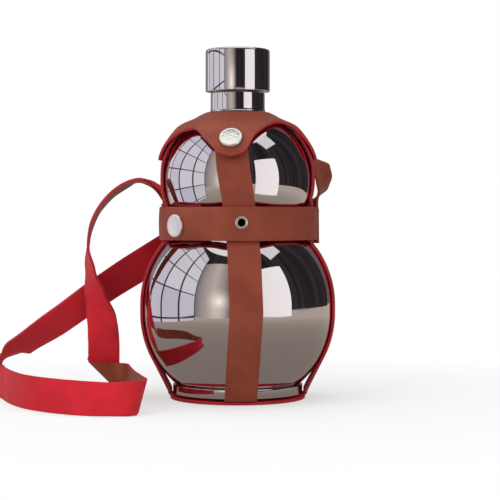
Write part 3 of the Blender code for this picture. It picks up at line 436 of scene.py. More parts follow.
def smooth_line(points, count, pieces=16):
    """Even points on a smooth curve through given points. Each stretch is measured in pieces."""
    points = [Vector(point) for point in points]
    slopes = curve_slopes(points)
    dense = []
    for i in range(len(points) - 1):
        dense += [curve_place(points, slopes, i, step / pieces) for step in range(pieces)]
    dense.append(points[-1])
    reach = [0]
    for here, there in zip(dense, dense[1:]):
        reach.append(reach[-1] + (there - here).length)
    even = []
    at = 0
    for step in range(count + 1):
        wanted = reach[-1] * step / count
        while at < len(dense) - 2 and reach[at + 1] < wanted:
            at += 1
        share = (wanted - reach[at]) / (reach[at + 1] - reach[at])
        even.append(dense[at].lerp(dense[at + 1], share))
    return even


# Modelling steps

def start_piece():
    """Leave edit mode and deselect everything."""
    if bpy.context.mode != "OBJECT":
        bpy.ops.object.mode_set(mode="OBJECT")
    bpy.ops.object.select_all(action="DESELECT")


def select_piece(piece):
    """Select one piece alone and make it active."""
    start_piece()
    piece.select_set(True)
    bpy.context.view_layer.objects.active = piece


def round_edges(piece, segments):
    """Bevel the sharp edges of the active piece of leather."""
    bevel = piece.modifiers.new("edges", "BEVEL")
    bevel.width = harness().edge_round
    bevel.segments = segments
    bevel.limit_method = "ANGLE"
    bevel.angle_limit = SHARP_EDGE
    bpy.ops.object.modifier_apply(modifier=bevel.name)


def finish_piece(piece, name, body, nodes, finish=None, shade=SOFT_SHADE):
    """Name a piece, add its finish, unless it has its leathers, shade it and tie it to its body."""
    piece.name = name
    piece.data.name = name
    if finish:
        piece.data.materials.append(finishes()[finish])
    select_piece(piece)
    bpy.ops.object.shade_smooth_by_angle(angle=shade)
    if body:
        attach(piece, body)
    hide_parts(*nodes)


def lathe(outline, sides, place=None, tiny=0.00001):
    """Add a circle and extrude it along a closed outline of (radius, height) points.

    A radius of 0 is closed to a point. The finished mesh is put at a place given by a matrix.
    """
    rings = [(max(radius, tiny), height) for radius, height in outline]
    rings.append(rings[0])
    radius, height = rings[0]
    start_piece()
    bpy.ops.mesh.primitive_circle_add(vertices=sides, radius=radius, location=(0, 0, height))
    bpy.ops.object.transform_apply(location=True, rotation=True, scale=True)
    piece = bpy.context.object
    bpy.ops.object.mode_set(mode="EDIT")
    bpy.ops.mesh.select_all(action="SELECT")
    for following, level in rings[1:]:
        bpy.ops.mesh.extrude_region_move(TRANSFORM_OT_translate={"value": (0, 0, level - height)})
        if following != radius:
            share = following / radius
            bpy.ops.transform.resize(value=(share, share, 1), center_override=(0, 0, level))
        radius, height = following, level
    bpy.ops.mesh.select_all(action="SELECT")
    bpy.ops.mesh.remove_doubles(threshold=2.5 * tiny)
    bpy.ops.mesh.normals_make_consistent(inside=False)
    bpy.ops.object.mode_set(mode="OBJECT")
    if place is not None:
        piece.data.transform(place)
    return piece


def add_leathers(piece):
    """Give a piece the finishes of the leather's outer face, inner face and painted edge, in this order."""
    for name in ("brown_leather", "red_leather", "leather_edge"):
        piece.data.materials.append(finishes()[name])


def leather_sheet(face, columns, rows, share=None, closed=False):
    """Lay a grid on a surface, give it the leather's thickness and round its edges.

    face(u, v) gives the outer face's point for shares u and v; u x v points outward.
    share(u, v) thins the leather. A closed sheet meets itself at the ends of u.
    """
    start_piece()
    bpy.ops.mesh.primitive_grid_add(x_subdivisions=columns, y_subdivisions=rows, size=2)
    piece = bpy.context.object
    group = piece.vertex_groups.new(name="thickness") if share else None
    for vertex in piece.data.vertices:
        u, v = (vertex.co.x + 1) / 2, (vertex.co.y + 1) / 2
        if share:
            group.add([vertex.index], share(u, v), "REPLACE")
        vertex.co = face(u, v)
    if closed:
        bpy.ops.object.mode_set(mode="EDIT")
        bpy.ops.mesh.select_all(action="SELECT")
        bpy.ops.mesh.remove_doubles(threshold=0.00001)
        bpy.ops.object.mode_set(mode="OBJECT")
    add_leathers(piece)
    solid = piece.modifiers.new("thickness", "SOLIDIFY")
    solid.thickness = harness().leather
    solid.offset = -1
    solid.use_even_offset = True
    solid.material_offset = 1
    solid.material_offset_rim = 2
    if share:
        solid.vertex_group = group.name
    bpy.ops.object.modifier_apply(modifier=solid.name)
    round_edges(piece, 3)
    piece.vertex_groups.clear()
    return piece


# Nodes of the finishes

def set_node(tree, node, **values):
    """Set a node's sockets by name. A value that is another node's socket is linked."""
    for name, value in values.items():
        socket = node.inputs[name.replace("_", " ")]
        if isinstance(value, bpy.types.NodeSocket):
            tree.links.new(value, socket)
        else:
            socket.default_value = value
    return node


def add_node(tree, kind, **values):
    """Add a node with its sockets set or linked."""
    return set_node(tree, tree.nodes.new(kind), **values)


def new_material(name, roughness, metallic=0):
    """A material, its node tree and its Principled shader."""
    made = bpy.data.materials.new(name)
    made.use_nodes = True
    tree = made.node_tree
    shader = set_node(tree, tree.nodes["Principled BSDF"], Roughness=roughness, Metallic=metallic)
    return made, tree, shader


def object_place(tree, **values):
    """Object coordinates through a Mapping node."""
    place = tree.nodes.new("ShaderNodeTexCoord")
    return add_node(tree, "ShaderNodeMapping", Vector=place.outputs["Object"], **values).outputs["Vector"]


def object_noise(tree, scale, detail, stretch=(1, 1, 1)):
    """Value of a noise on Object coordinates, stretched along the axes."""
    place = object_place(tree, Scale=stretch)
    return add_node(tree, "ShaderNodeTexNoise", Scale=scale, Detail=detail, Vector=place).outputs["Fac"]


def round_fade(tree, kind, **values):
    """Value that falls from 1 at a place to 0 round it."""
    fade = add_node(tree, "ShaderNodeTexGradient", Vector=object_place(tree, **values))
    fade.gradient_type = kind
    return fade.outputs["Fac"]


def ramp(tree, source, stops):
    """Colour from (place, colour) stops over a value."""
    node = add_node(tree, "ShaderNodeValToRGB", Fac=source)
    for index, (place, tone) in enumerate(stops):
        stop = node.color_ramp.elements[index] if index < 2 else node.color_ramp.elements.new(place)
        stop.position = place
        stop.color = (*tone, 1)
    return node.outputs["Color"]


def grey_ramp(tree, source, *stops):
    """Grey from (place, tone) stops over a value."""
    return ramp(tree, source, [(place, (tone,) * 3) for place, tone in stops])


def raised(tree, height, strength, depth):
    """Normal of a surface raised by a height."""
    bump = add_node(tree, "ShaderNodeBump", Height=height, Strength=strength, Distance=depth)
    return bump.outputs["Normal"]


def combine(tree, operation, first, second):
    """Result of a Math node on two sockets."""
    node = tree.nodes.new("ShaderNodeMath")
    node.operation = operation
    tree.links.new(first, node.inputs[0])
    tree.links.new(second, node.inputs[1])
    return node.outputs["Value"]


def mix_shaders(tree, share, first, second):
    """Shader between two shaders, by a share of the second."""
    node = add_node(tree, "ShaderNodeMixShader", Fac=share)
    tree.links.new(first, node.inputs[1])
    tree.links.new(second, node.inputs[2])
    return node.outputs["Shader"]


# Finishes

def steel_finish(colours):
    """Mirror-polished steel with the faintest waves of polishing."""
    tree, shader = new_material("polished_steel", 0.03, 1)[1:]
    waves = object_noise(tree, 22, 2)
    smears = object_noise(tree, 70, 4)
    set_node(tree, shader, Base_Color=(*colours.steel, 1), Normal=raised(tree, waves, 0.05, 0.0004),
             Roughness=grey_ramp(tree, smears, (0.35, 0.02), (0.75, 0.06)))


def silver_finish(colours):
    """Hammered silver-coloured metal."""
    tree, shader = new_material("hammered_silver", 0.28, 1)[1:]
    place = tree.nodes.new("ShaderNodeTexCoord")
    dents = add_node(tree, "ShaderNodeTexVoronoi", Scale=900, Vector=place.outputs["Object"])
    set_node(tree, shader, Base_Color=(*colours.silver, 1),
             Normal=raised(tree, dents.outputs["Distance"], 0.55, 0.0003))


def leather_finish(name, tone, roughness, grain):
    """Leather with pores, soft mottling and slightly uneven gloss."""
    tree, shader = new_material(name, roughness)[1:]
    dark = tuple(part * 0.82 for part in tone)
    light = tuple(min(1, part * 1.14) for part in tone)
    mottle = object_noise(tree, 60, 5)
    pores = object_noise(tree, grain, 6)
    gloss = grey_ramp(tree, pores, (0.3, roughness - 0.08), (0.7, roughness + 0.08))
    set_node(tree, shader, Base_Color=ramp(tree, mottle, ((0.3, dark), (0.7, light))), Roughness=gloss,
             Normal=raised(tree, pores, 0.25, 0.00025), Specular_IOR_Level=0.35, Sheen_Weight=0.03)


def rubber_finish():
    """Matt black rubber."""
    tree, shader = new_material("gasket_rubber", 0.6)[1:]
    speckle = object_noise(tree, 900, 3)
    set_node(tree, shader, Base_Color=grey_ramp(tree, speckle, (0.3, 0.02), (0.7, 0.035)))


def finishes():
    """The finishes by name, made once."""
    colours = bpy.context.scene.bottle_colours
    if "polished_steel" not in bpy.data.materials:
        steel_finish(colours)
        silver_finish(colours)
        leather_finish("brown_leather", tuple(colours.brown), 0.5, 1900)
        leather_finish("red_leather", tuple(colours.red), 0.62, 2600)
        leather_finish("leather_edge", tuple(colours.edge), 0.55, 2600)
        rubber_finish()
    return bpy.data.materials


# Shapes of the bottle and the harness


def bottle():
    return bpy.context.scene.bottle_sizes


def harness():
    return bpy.context.scene.harness_sizes


def lower_top_centre():
    """Centre height of the lower bulb's upper half."""
    return bottle().lower_centre + bottle().lower_straight


def waist():
    """Height at which the two bulbs meet."""
    spacing = bottle().upper_centre - lower_top_centre()
    squares = spacing ** 2 + bottle().lower_radius ** 2 - bottle().upper_radius ** 2
    return lower_top_centre() + squares / (2 * spacing)


def top_flatness():
    """Height of the upper bulb's top half as a share of a ball's."""
    return bottle().upper_top / bottle().upper_radius


def upper_height(rise):
    """Height of a point on the upper bulb, given its rise over the centre of a ball."""
    return bottle().upper_centre + (rise * top_flatness() if rise > 0 else rise)


def upper_arc(radius, start, end, count):
    """Points (radius from the axis, height) on the upper bulb or on what lies on it."""
    return [(across, upper_height(rise)) for across, rise in arc(0, radius, start, end, count)]


def belt_inner(azimuth):
    """Radius of the belt's inner face along its spiral, from the tucked end to the front end."""
    return along_table(BELT_TABLE, -math.degrees(azimuth))


def strap_reach():
    """Distance of a strap's outer face from the upper bulb's centre."""
    return bottle().upper_radius + harness().strap_stand + harness().leather


def collar_distance(polar):
    """Distance of the collar's inner face from the upper bulb's centre at a lobe."""
    rise = smooth_share(polar, COLLAR_RISE_START, COLLAR_RISE_END)
    return mix(bottle().upper_radius + COLLAR_STAND, strap_reach() + SOFT_GAP + GAP / 2, rise)


def on_collar(azimuth, polar, distance):
    """Point at an azimuth and a polar angle of the upper bulb."""
    return around(azimuth, distance * math.sin(polar), upper_height(distance * math.cos(polar)))


def on_flap(side, angle, distance):
    """Point at a sideways place, in the plane through X tilted by an angle from the vertical."""
    reach = math.sqrt(distance ** 2 - side ** 2)
    return Vector((side, -reach * math.sin(angle), upper_height(reach * math.cos(angle))))


def collar_point(azimuth, polar):
    """Outer face of the collar: it hugs the arches, lies flat across the lobes and rises to the snap."""
    lobe = (1 + math.cos(4 * azimuth)) / 2
    low = bottle().upper_radius + COLLAR_STAND
    distance = low + (collar_distance(polar) - low) * mix(ARCH_LIFT, 1, lobe)
    tilt = math.atan2(math.sin(polar) * math.cos(azimuth), math.cos(polar))
    front = max(0, tilt - FRONT_RISE_START) / (COLLAR_SNAP_POLAR - FRONT_RISE_START)
    bend = FRONT_RISE_BEND
    front = front * front / (2 * bend) if front < bend else front - bend / 2
    distance += front / (1 - bend / 2) * (SNAP_STACK - SOFT_GAP - GAP / 2) + harness().leather
    point = on_collar(azimuth, polar, distance)
    off = abs((math.degrees(azimuth) + 45) % 90 - 45)
    beside = abs(math.sin(azimuth)) > math.cos(math.pi / 4)
    flat = (SIDE_LOBE_FLATNESS if beside else FRONT_LOBE_FLATNESS) * smooth_share(polar, *LOBE_FLAT_RANGE)
    flat *= 1 - smooth_share(off, *LOBE_FLAT_END)
    spread = 1 + flat * (1 / math.cos(math.radians(min(off, LOBE_FLAT_LIMIT))) - 1)
    return Vector((point.x * spread, point.y * spread, point.z))


def strap_line(belt_radius, stand):
    """Even points down a strap's outer face, from under the collar to the end of its foot tab."""
    leather = harness().leather
    reach = bottle().upper_radius + stand + leather
    end = math.asin((BELT_TOP + STRAP_UPPER_BREAK - bottle().upper_centre) / reach)
    points = []
    for step in range(UPPER_STEPS + 1):
        polar = mix(STRAP_UNDER_COLLAR, math.pi / 2 - end, step / UPPER_STEPS)
        lift = (harness().strap_stand - stand) * (1 - smooth_share(polar, *LOBE_LEAVE_RANGE))
        tucked = min(reach + lift, collar_distance(polar) - SOFT_GAP / 2)
        angle = math.pi / 2 - polar
        points.append((tucked * math.cos(angle), upper_height(tucked * math.sin(angle))))
    under = belt_radius - SOFT_GAP
    points += [(under, BELT_TOP + GAP), (under - GAP / 2, BELT_MIDDLE), (under, BELT_BOTTOM - GAP)]
    reach = bottle().lower_radius + stand + leather
    start = math.asin((BELT_BOTTOM - STRAP_LOWER_BREAK - lower_top_centre()) / reach)
    points += arc(lower_top_centre(), reach, start, 0, LOWER_STEPS)
    for step in range(LOWER_STEPS + 1):
        share = step / LOWER_STEPS
        radius = bottle().lower_radius + mix(stand, STRAP_FOOT_STAND, share) + leather
        angle = mix(0, STRAP_LEAVE, share)
        points.append((radius * math.cos(angle), bottle().lower_centre + radius * math.sin(angle)))
    tab = BOXES["base_disc"][1][2] + GAP
    points += [(STRAP_FOOT_RADIUS, STRAP_FOOT_HEIGHT),
               (STRAP_FOOT_RADIUS - TAB_THICKNESS / 2, tab + TAB_THICKNESS),
               (STRAP_FOOT_RADIUS - leather, tab), (STRAP_FOOT_RADIUS - TAB_REACH, tab)]
    return smooth_line([(radius, height, 0) for radius, height in points], STRAP_ROWS)


def strap_lean(height):
    """Sideways place of the front strap's middle at a height."""
    return harness().strap_width * along_table(FRONT_LEAN_SHARES, height / OVERALL)


def facing(place, outward):
    """Matrix at a place with its Z axis along a direction."""
    return Matrix.Translation(place) @ outward.to_track_quat("Z", "Y").to_matrix().to_4x4()


def punch(piece, matrix, radius, bottom, top):
    """Cut a round hole through a piece along a matrix's Z axis."""
    start_piece()
    bpy.ops.mesh.primitive_cylinder_add(vertices=HOLE_SIDES, radius=radius, depth=top - bottom,
                                        location=(0, 0, (top + bottom) / 2))
    tool = bpy.context.object
    bpy.ops.object.transform_apply(location=True, rotation=True, scale=True)
    tool.data.transform(matrix)
    select_piece(piece)
    hole = piece.modifiers.new("hole", "BOOLEAN")
    hole.operation = "DIFFERENCE"
    hole.solver = "EXACT"
    hole.object = tool
    bpy.ops.object.modifier_apply(modifier=hole.name)
    bpy.data.objects.remove(tool, do_unlink=True)


def eyelets():
    """Matrix of each eyelet on the leather's outer face, its depth and the leather that it goes through."""
    leather = harness().leather
    single = leather, leather + (SOFT_GAP + leather)
    doubled = 2 * leather + GAP, 2 * leather + GAP
    belt, loose_end = "waist_belt_round", "shoulder_strap_leather"
    table = (
        ("eyelet_front", FRONT_EYELET, -math.tau, FRONT_EYELET_HEIGHT, single,
         ("waist_belt_front", "front_strap_leather")),
        ("eyelet_back", math.pi, -math.pi, SIDE_EYELET_HEIGHT, single, (belt, "back_strap_leather")),
        ("eyelet_right", RIGHT_EYELET, RIGHT_EYELET - math.tau, SIDE_EYELET_HEIGHT, doubled,
         (belt, loose_end)),
        ("eyelet_left", LEFT_EYELET, LEFT_EYELET, SIDE_EYELET_HEIGHT, doubled, (belt, loose_end)),
    )
    made = {}
    for name, azimuth, along, height, (stand, depth), pieces in table:
        place = around(azimuth, belt_inner(along) + stand, height)
        made[name] = facing(place, around(azimuth, 1, 0)), depth, pieces
    return made


def snaps():
    """Matrix of each snap's stud and of its cap, the cap's body and the leather of the flap and behind it."""
    place = on_flap(COLLAR_SNAP_OFFSET, COLLAR_SNAP_POLAR, strap_reach())
    rise = (place.z - bottle().upper_centre) / top_flatness() ** 2
    collar = facing(place, Vector((place.x, place.y, rise)))
    joint = collar @ Vector((0, 0, SNAP_JOINT))
    tilt = Matrix.Translation(joint) @ Matrix.Rotation(-COLLAR_SNAP_TILT, 4, "X") @ Matrix.Translation(-joint)
    tucked = belt_inner(BELT_START) + harness().leather
    belt = facing(around(BELT_SNAP_AZIMUTH, tucked, BELT_SNAP_HEIGHT), around(BELT_SNAP_AZIMUTH, 1, 0))
    return {
        "collar_snap": (collar, tilt @ collar, "collar_flap", "collar_leather", "front_strap_leather"),
        "belt_snap": (belt, belt, "belt_end", "waist_belt_front", "waist_belt_round"),
    }


# Steel pieces

def finish_steel(piece, name, node, shade=SOFT_SHADE):
    """Finish one of the polished pieces that make up the bottle."""
    finish_piece(piece, name, "bottle", (node,), "polished_steel", shade)


def make_lower_bulb():
    """Lower bulb as an open shell with a dished bottom."""
    radius, wall = bottle().lower_radius, bottle().wall
    low, high = bottle().lower_centre, lower_top_centre()
    bottom = math.asin((BASE_CUT - low) / radius)
    top = math.asin((waist() - GAP / 2 - high) / radius)
    flat = radius * math.cos(bottom) * DISH_FLAT_SHARE
    middle, side = BASE_CUT + DISH_RISE, BASE_CUT + DISH_RISE * DISH_DROP_SHARE
    outline = [(0, middle), (flat, side)]
    outline += arc(low, radius, bottom, 0, LOWER_ARC_STEPS[0])
    outline += arc(high, radius, 0, top, LOWER_ARC_STEPS[1])
    outline += arc(high, radius - wall, top, 0, LOWER_INNER_STEPS)
    outline += arc(low, radius - wall, 0, bottom, LOWER_INNER_STEPS)
    outline += [(flat, side + wall), (0, middle + wall)]
    finish_steel(lathe(outline, BODY_SIDES), "lower_bulb_steel", "bottle_lower_bulb")


def neck_foot():
    """Radius and height at which the neck leaves the upper bulb."""
    radius = bottle().neck_radius + NECK_FOOT_GROWTH
    return radius, upper_height(math.sqrt(bottle().upper_radius ** 2 - radius ** 2))


def make_upper_bulb():
    """Upper bulb as an open shell."""
    radius, centre, wall = bottle().upper_radius, bottle().upper_centre, bottle().wall
    bottom = math.asin((waist() + GAP / 2 - centre) / radius)
    top = math.asin((neck_foot()[1] - centre) / bottle().upper_top)
    outline = upper_arc(radius, bottom, top, UPPER_ARC_STEPS)
    outline += upper_arc(radius - wall, top, bottom, UPPER_INNER_STEPS)
    finish_steel(lathe(outline, BODY_SIDES), "upper_bulb_steel", "bottle_upper_bulb")


def thread_wave(azimuth, height):
    """Share of the thread's depth: 1 on the crest, 0 in the root."""
    return (1 + math.cos(math.tau * height / THREAD_PITCH - azimuth)) / 2


def cut_thread(piece, base, fade):
    """Raise a thread on the rings of a piece whose radius is base, fading at both ends over a height."""
    for vertex in piece.data.vertices:
        radius = math.hypot(vertex.co.x, vertex.co.y)
        inside = THREAD_START - GAP < vertex.co.z < THREAD_END + GAP
        if abs(radius - base) < GAP / 3 and inside:
            share = thread_wave(math.atan2(vertex.co.y, vertex.co.x), vertex.co.z)
            if fade:
                share *= smooth_share(vertex.co.z, THREAD_START, THREAD_START + fade)
                share *= 1 - smooth_share(vertex.co.z, THREAD_END - fade, THREAD_END)
            grown = (radius + share * (THREAD_CREST - THREAD_ROOT)) / radius
            vertex.co.x *= grown
            vertex.co.y *= grown


def thread_rings(base):
    """Rings of a threaded length, upwards."""
    rings = THREAD_TURNS * THREAD_RINGS_PER_TURN
    return [(base, mix(THREAD_START, THREAD_END, ring / rings)) for ring in range(rings + 1)]


def make_neck():
    """Neck with a flared foot, a shoulder under the cap and the thread."""
    foot_radius, foot = neck_foot()
    radius = bottle().neck_radius
    outline = [(foot_radius, foot), (foot_radius - NECK_LIP[0], foot + NECK_LIP[1])]
    outline += corner((radius + NECK_FLARE, foot + NECK_FLARE_RISE), NECK_FLARE, 250, 180, 8)
    outline += corner((radius - RIM_ROUND, NECK_SHOULDER - RIM_ROUND), RIM_ROUND, 0, 90, 4)
    outline += [(THREAD_ROOT + SHOULDER_CUT, NECK_SHOULDER), (THREAD_ROOT, NECK_SHOULDER + SHOULDER_CUT)]
    outline += thread_rings(THREAD_ROOT) + [(THREAD_ROOT, THREAD_END + THREAD_RUNOUT)]
    outline += corner((THREAD_ROOT - RIM_ROUND, RIM_TOP - RIM_ROUND), RIM_ROUND, 0, 90, 4)
    outline += corner((NECK_BORE + RIM_ROUND, RIM_TOP - RIM_ROUND), RIM_ROUND, 90, 180, 4)
    outline += [(NECK_BORE, foot + NECK_BORE_RISE), (foot_radius - NECK_FOOT_WALL, foot)]
    neck = lathe(outline, THREAD_SIDES)
    cut_thread(neck, THREAD_ROOT, THREAD_FADE)
    finish_steel(neck, "neck_steel", "bottle_neck", THREAD_SHADE)


def make_foot_ring():
    """Ring that the bottle stands on, with rolled edges."""
    low, high = BOXES["foot_ring"]
    radius = high[0]
    inner = radius - RING_WALL
    outline = corner((radius - ROUND, low[2] + ROUND), ROUND, -90, 0)
    outline += corner((radius - ROUND, high[2] - ROUND), ROUND, 0, 90) + [(inner, high[2]), (inner, low[2])]
    finish_steel(lathe(outline, BODY_SIDES), "foot_ring_steel", "foot_ring")


def make_cap_shell():
    """Cap shell with rolled edges."""
    radius, edge = bottle().cap_radius, bottle().cap_round
    low, top = BOXES["cap_shell"][0][2], OVERALL
    inner = radius - CAP_WALL
    outline = [(radius * share, top) for share in CAP_TOP_SHARES]
    outline += corner((radius - edge, top - edge), edge, 90, 0, 10)
    outline += corner((radius - CAP_LOWER_ROUND, low + CAP_LOWER_ROUND), CAP_LOWER_ROUND, 0, -90, 3)
    outline += [(inner, low), (inner, top - edge - GAP), (0, top - edge - GAP)]
    shell = lathe(outline, BODY_SIDES)
    finish_piece(shell, "cap_shell_steel", "cap", ("cap_shell",), "polished_steel")


def make_cap_liner():
    """Threaded liner inside the cap."""
    outer = bottle().cap_radius - CAP_WALL - GAP
    top = OVERALL - bottle().cap_round - 2 * GAP
    bore = THREAD_ROOT + THREAD_PLAY
    root = bore + THREAD_CREST - THREAD_ROOT
    foot = BOXES["cap_liner"][0][2]
    seat = RIM_TOP + GASKET_HEIGHT + 2 * GAP
    outline = [(0, top), (outer, top), (outer, foot), (root + SMALL_ROUND, foot)] + thread_rings(bore)
    outline += [(root, THREAD_END + THREAD_RUNOUT), (root, seat), (0, seat)]
    liner = lathe(outline, THREAD_SIDES)
    cut_thread(liner, bore, 0)
    finish_piece(liner, "cap_liner_metal", "cap", ("cap_liner",), "hammered_silver", THREAD_SHADE)


def make_gasket():
    """Rubber ring over the rim."""
    low, high = BOXES["cap_gasket"]
    middle = high[2] - SMALL_ROUND
    outline = [(GASKET_BORE, low[2]), (high[0], low[2]), (high[0], middle), (high[0] - SMALL_ROUND, high[2]),
               (GASKET_BORE, high[2])]
    gasket = lathe(outline, GASKET_SIDES)
    finish_piece(gasket, "cap_gasket_ring", "cap_lift", ("cap_gasket",), "gasket_rubber")


# Leather pieces

def make_collar():
    """Collar round the neck: three fixed lobes and the front lobe that opens."""
    turned = COLLAR_EDGE[0][0] + 360, COLLAR_EDGE[0][1]
    outline = [(math.radians(azimuth), math.radians(polar), 0) for azimuth, polar in (*COLLAR_EDGE, turned)]
    edge = smooth_line(outline, COLLAR_COLUMNS)
    first = edge[0].x

    def face(u, v):
        place = edge[round(u * COLLAR_COLUMNS)]
        even = first + math.tau * u
        azimuth = mix(place.x, mix(place.x, even, 0.5), v)
        return collar_point(azimuth, mix(place.y, HOLE_POLAR, v))

    collar = leather_sheet(face, COLLAR_COLUMNS, COLLAR_ROWS, closed=True)
    finish_piece(collar, "collar_leather", None, ("collar", "collar_front_flap"))


def make_strap(name, azimuth, belt_radius, node, stand, lean=None):
    """One harness strap, pulled flat across its width where nothing presses it."""
    line = strap_line(belt_radius, stand)
    tab = BOXES["base_disc"][1][2] + TAB_THICKNESS

    def face(u, v):
        point = line[round((1 - v) * STRAP_ROWS)]
        radius, height = point.x, point.y
        middle = lean(height) if lean else 0
        across = (2 * u - 1) * harness().strap_width / 2
        turn = (middle + across) / radius
        free = smooth_share(abs(height - BELT_MIDDLE), *STRAP_BELT_REACH)
        free *= 1 - smooth_share(height, *STRAP_COLLAR_REACH)
        free *= smooth_share(height, *STRAP_FOOT_REACH)
        flat = FRONT_STRAP_FLATNESS
        if not lean:
            flat = UPPER_STRAP_FLATNESS if height > BELT_TOP else LOWER_STRAP_FLATNESS
        pulled = radius * (1 + flat * free * (1 / math.cos(across / radius) - 1))
        return around(azimuth + turn, pulled, height)

    def share(u, v):
        height = line[round((1 - v) * STRAP_ROWS)].y
        thin = mix(0.5, 1, smooth_share(height, tab, STRAP_FOOT_HEIGHT + TAB_THICKNESS))
        return thin * mix(1, STRAP_SKIVE, smooth_share(height, *STRAP_SKIVE_RANGE))

    strap = leather_sheet(face, STRAP_COLUMNS, STRAP_ROWS, share)
    finish_piece(strap, name, "bottle", (node,))


def make_straps():
    """The four harness straps."""
    loose, left, back = belt_inner(-math.tau), belt_inner(-math.pi / 2), belt_inner(-math.pi)
    stand = harness().side_stand
    make_strap("front_strap_leather", 0, loose, "front_strap", harness().strap_stand, strap_lean)
    make_strap("right_strap_leather", math.pi / 2, loose, "right_strap", stand)
    make_strap("back_strap_leather", math.pi, back, "back_strap", stand)
    make_strap("left_strap_leather", -math.pi / 2, left, "left_strap", stand)


def belt_sag(azimuth):
    """How far the belt falls in between the straps."""
    if azimuth >= BELT_SAG_START:
        return 0
    turn = (math.degrees(azimuth) + 360) % 360
    away = min(abs(turn - middle) for middle in BELT_OVER_STRAPS)
    sag = smooth_share(away, *BELT_SAG_RANGE) * BELT_SAG
    return sag * (1 - smooth_share(-math.degrees(azimuth), *BELT_SAG_END))


def belt_hug(azimuth, v):
    """How far the front length leans in: onto the steel at the right, along the flap's edges at the left."""
    turn = -math.degrees(azimuth)
    if turn < BELT_HUG_END:
        away = min(abs(turn - middle) for middle in BELT_HUG_BETWEEN)
        return BELT_HUG * smooth_share(away, *BELT_HUG_RANGE)
    share = smooth_share(turn, *FLAP_HUG_START) * (1 - smooth_share(turn, *FLAP_HUG_END))
    return FLAP_HUG * abs(2 * v - 1) ** 3 * share


def make_belt_length(name, start, end, columns, nodes, front):
    """One length of the waist belt, with rounded corners at its free end."""

    def face(u, v):
        azimuth = mix(end, start, u)
        reach = belt_inner(azimuth) + harness().leather
        past = (u if front else 1 - u) * (start - end) * reach
        cut = 0
        if past < BELT_CORNER:
            cut = BELT_CORNER - math.sqrt(BELT_CORNER ** 2 - (BELT_CORNER - past) ** 2)
        height = mix(BELT_BOTTOM + cut, BELT_TOP - cut, v)
        bow = BELT_BOW * (1 - (2 * v - 1) ** 2)
        sag = belt_sag(azimuth)
        if front:
            sag += belt_hug(azimuth, v)
        return around(azimuth, reach - sag + bow, height)

    belt = leather_sheet(face, columns, BELT_ROWS)
    finish_piece(belt, name, None, nodes)


def make_belt():
    """The belt's fixed length round the back, and the front length whose end opens."""
    join = BELT_JOIN - math.tau
    end = BELT_FLAP_END - math.tau
    make_belt_length("waist_belt_round", BELT_START, join + GAP, BELT_ROUND_COLUMNS, ("waist_belt",), False)
    make_belt_length("waist_belt_front", join, end, BELT_FRONT_COLUMNS, ("waist_belt", "belt_flap"), True)


def make_base_disc():
    """Leather disc under the foot ring."""
    low, high = BOXES["base_disc"]
    radius = high[0]
    middle = radius * DISC_MIDDLE_SHARE
    outline = [(0, 0), (middle, 0)] + corner((radius - ROUND, low[2] + ROUND), ROUND, -90, 0, 3)
    outline += corner((radius - ROUND, high[2] - ROUND), ROUND, 0, 90, 3)
    outline += [(middle, high[2]), (0, high[2])]
    disc = lathe(outline, THREAD_SIDES)
    add_leathers(disc)
    finish_piece(disc, "base_disc_leather", "bottle", ("base_disc",))
    for polygon in disc.data.polygons:
        if abs(polygon.normal.z) < FACE_NORMAL:
            polygon.material_index = 2
        elif polygon.normal.z > 0:
            polygon.material_index = 1


# Shoulder strap

def route_frames():
    """Centre, half width vector and normal at even steps along the route, smoothly joined."""
    places = [Vector(row[:3]) for row in STRAP_ROUTE]
    widths = [Vector(row[3:6]).normalized() for row in STRAP_ROUTE]
    skews = [row[6] for row in STRAP_ROUTE]
    last = len(places) - 1
    slopes = curve_slopes(places)
    frames = []
    for i in range(last):
        length = (places[i + 1] - places[i]).length
        pieces = max(2, round(length / ROUTE_STEP))
        for piece in range(pieces + 1 if i == last - 1 else pieces):
            share = piece / pieces
            square = share * share
            slope = (places[i] - places[i + 1]) * (6 * square - 6 * share)
            slope += slopes[i] * length * (3 * square - 4 * share + 1)
            slope += slopes[i + 1] * length * (3 * square - 2 * share)
            slope.normalize()
            width = mix(widths[i], widths[i + 1], smooth_share(share, 0, 1))
            width = (width - slope * width.dot(slope)).normalized()
            half = (width + slope * mix(skews[i], skews[i + 1], share)) * harness().strap_width / 2
            frames.append((curve_place(places, slopes, i, share), half, slope.cross(width)))
    return frames


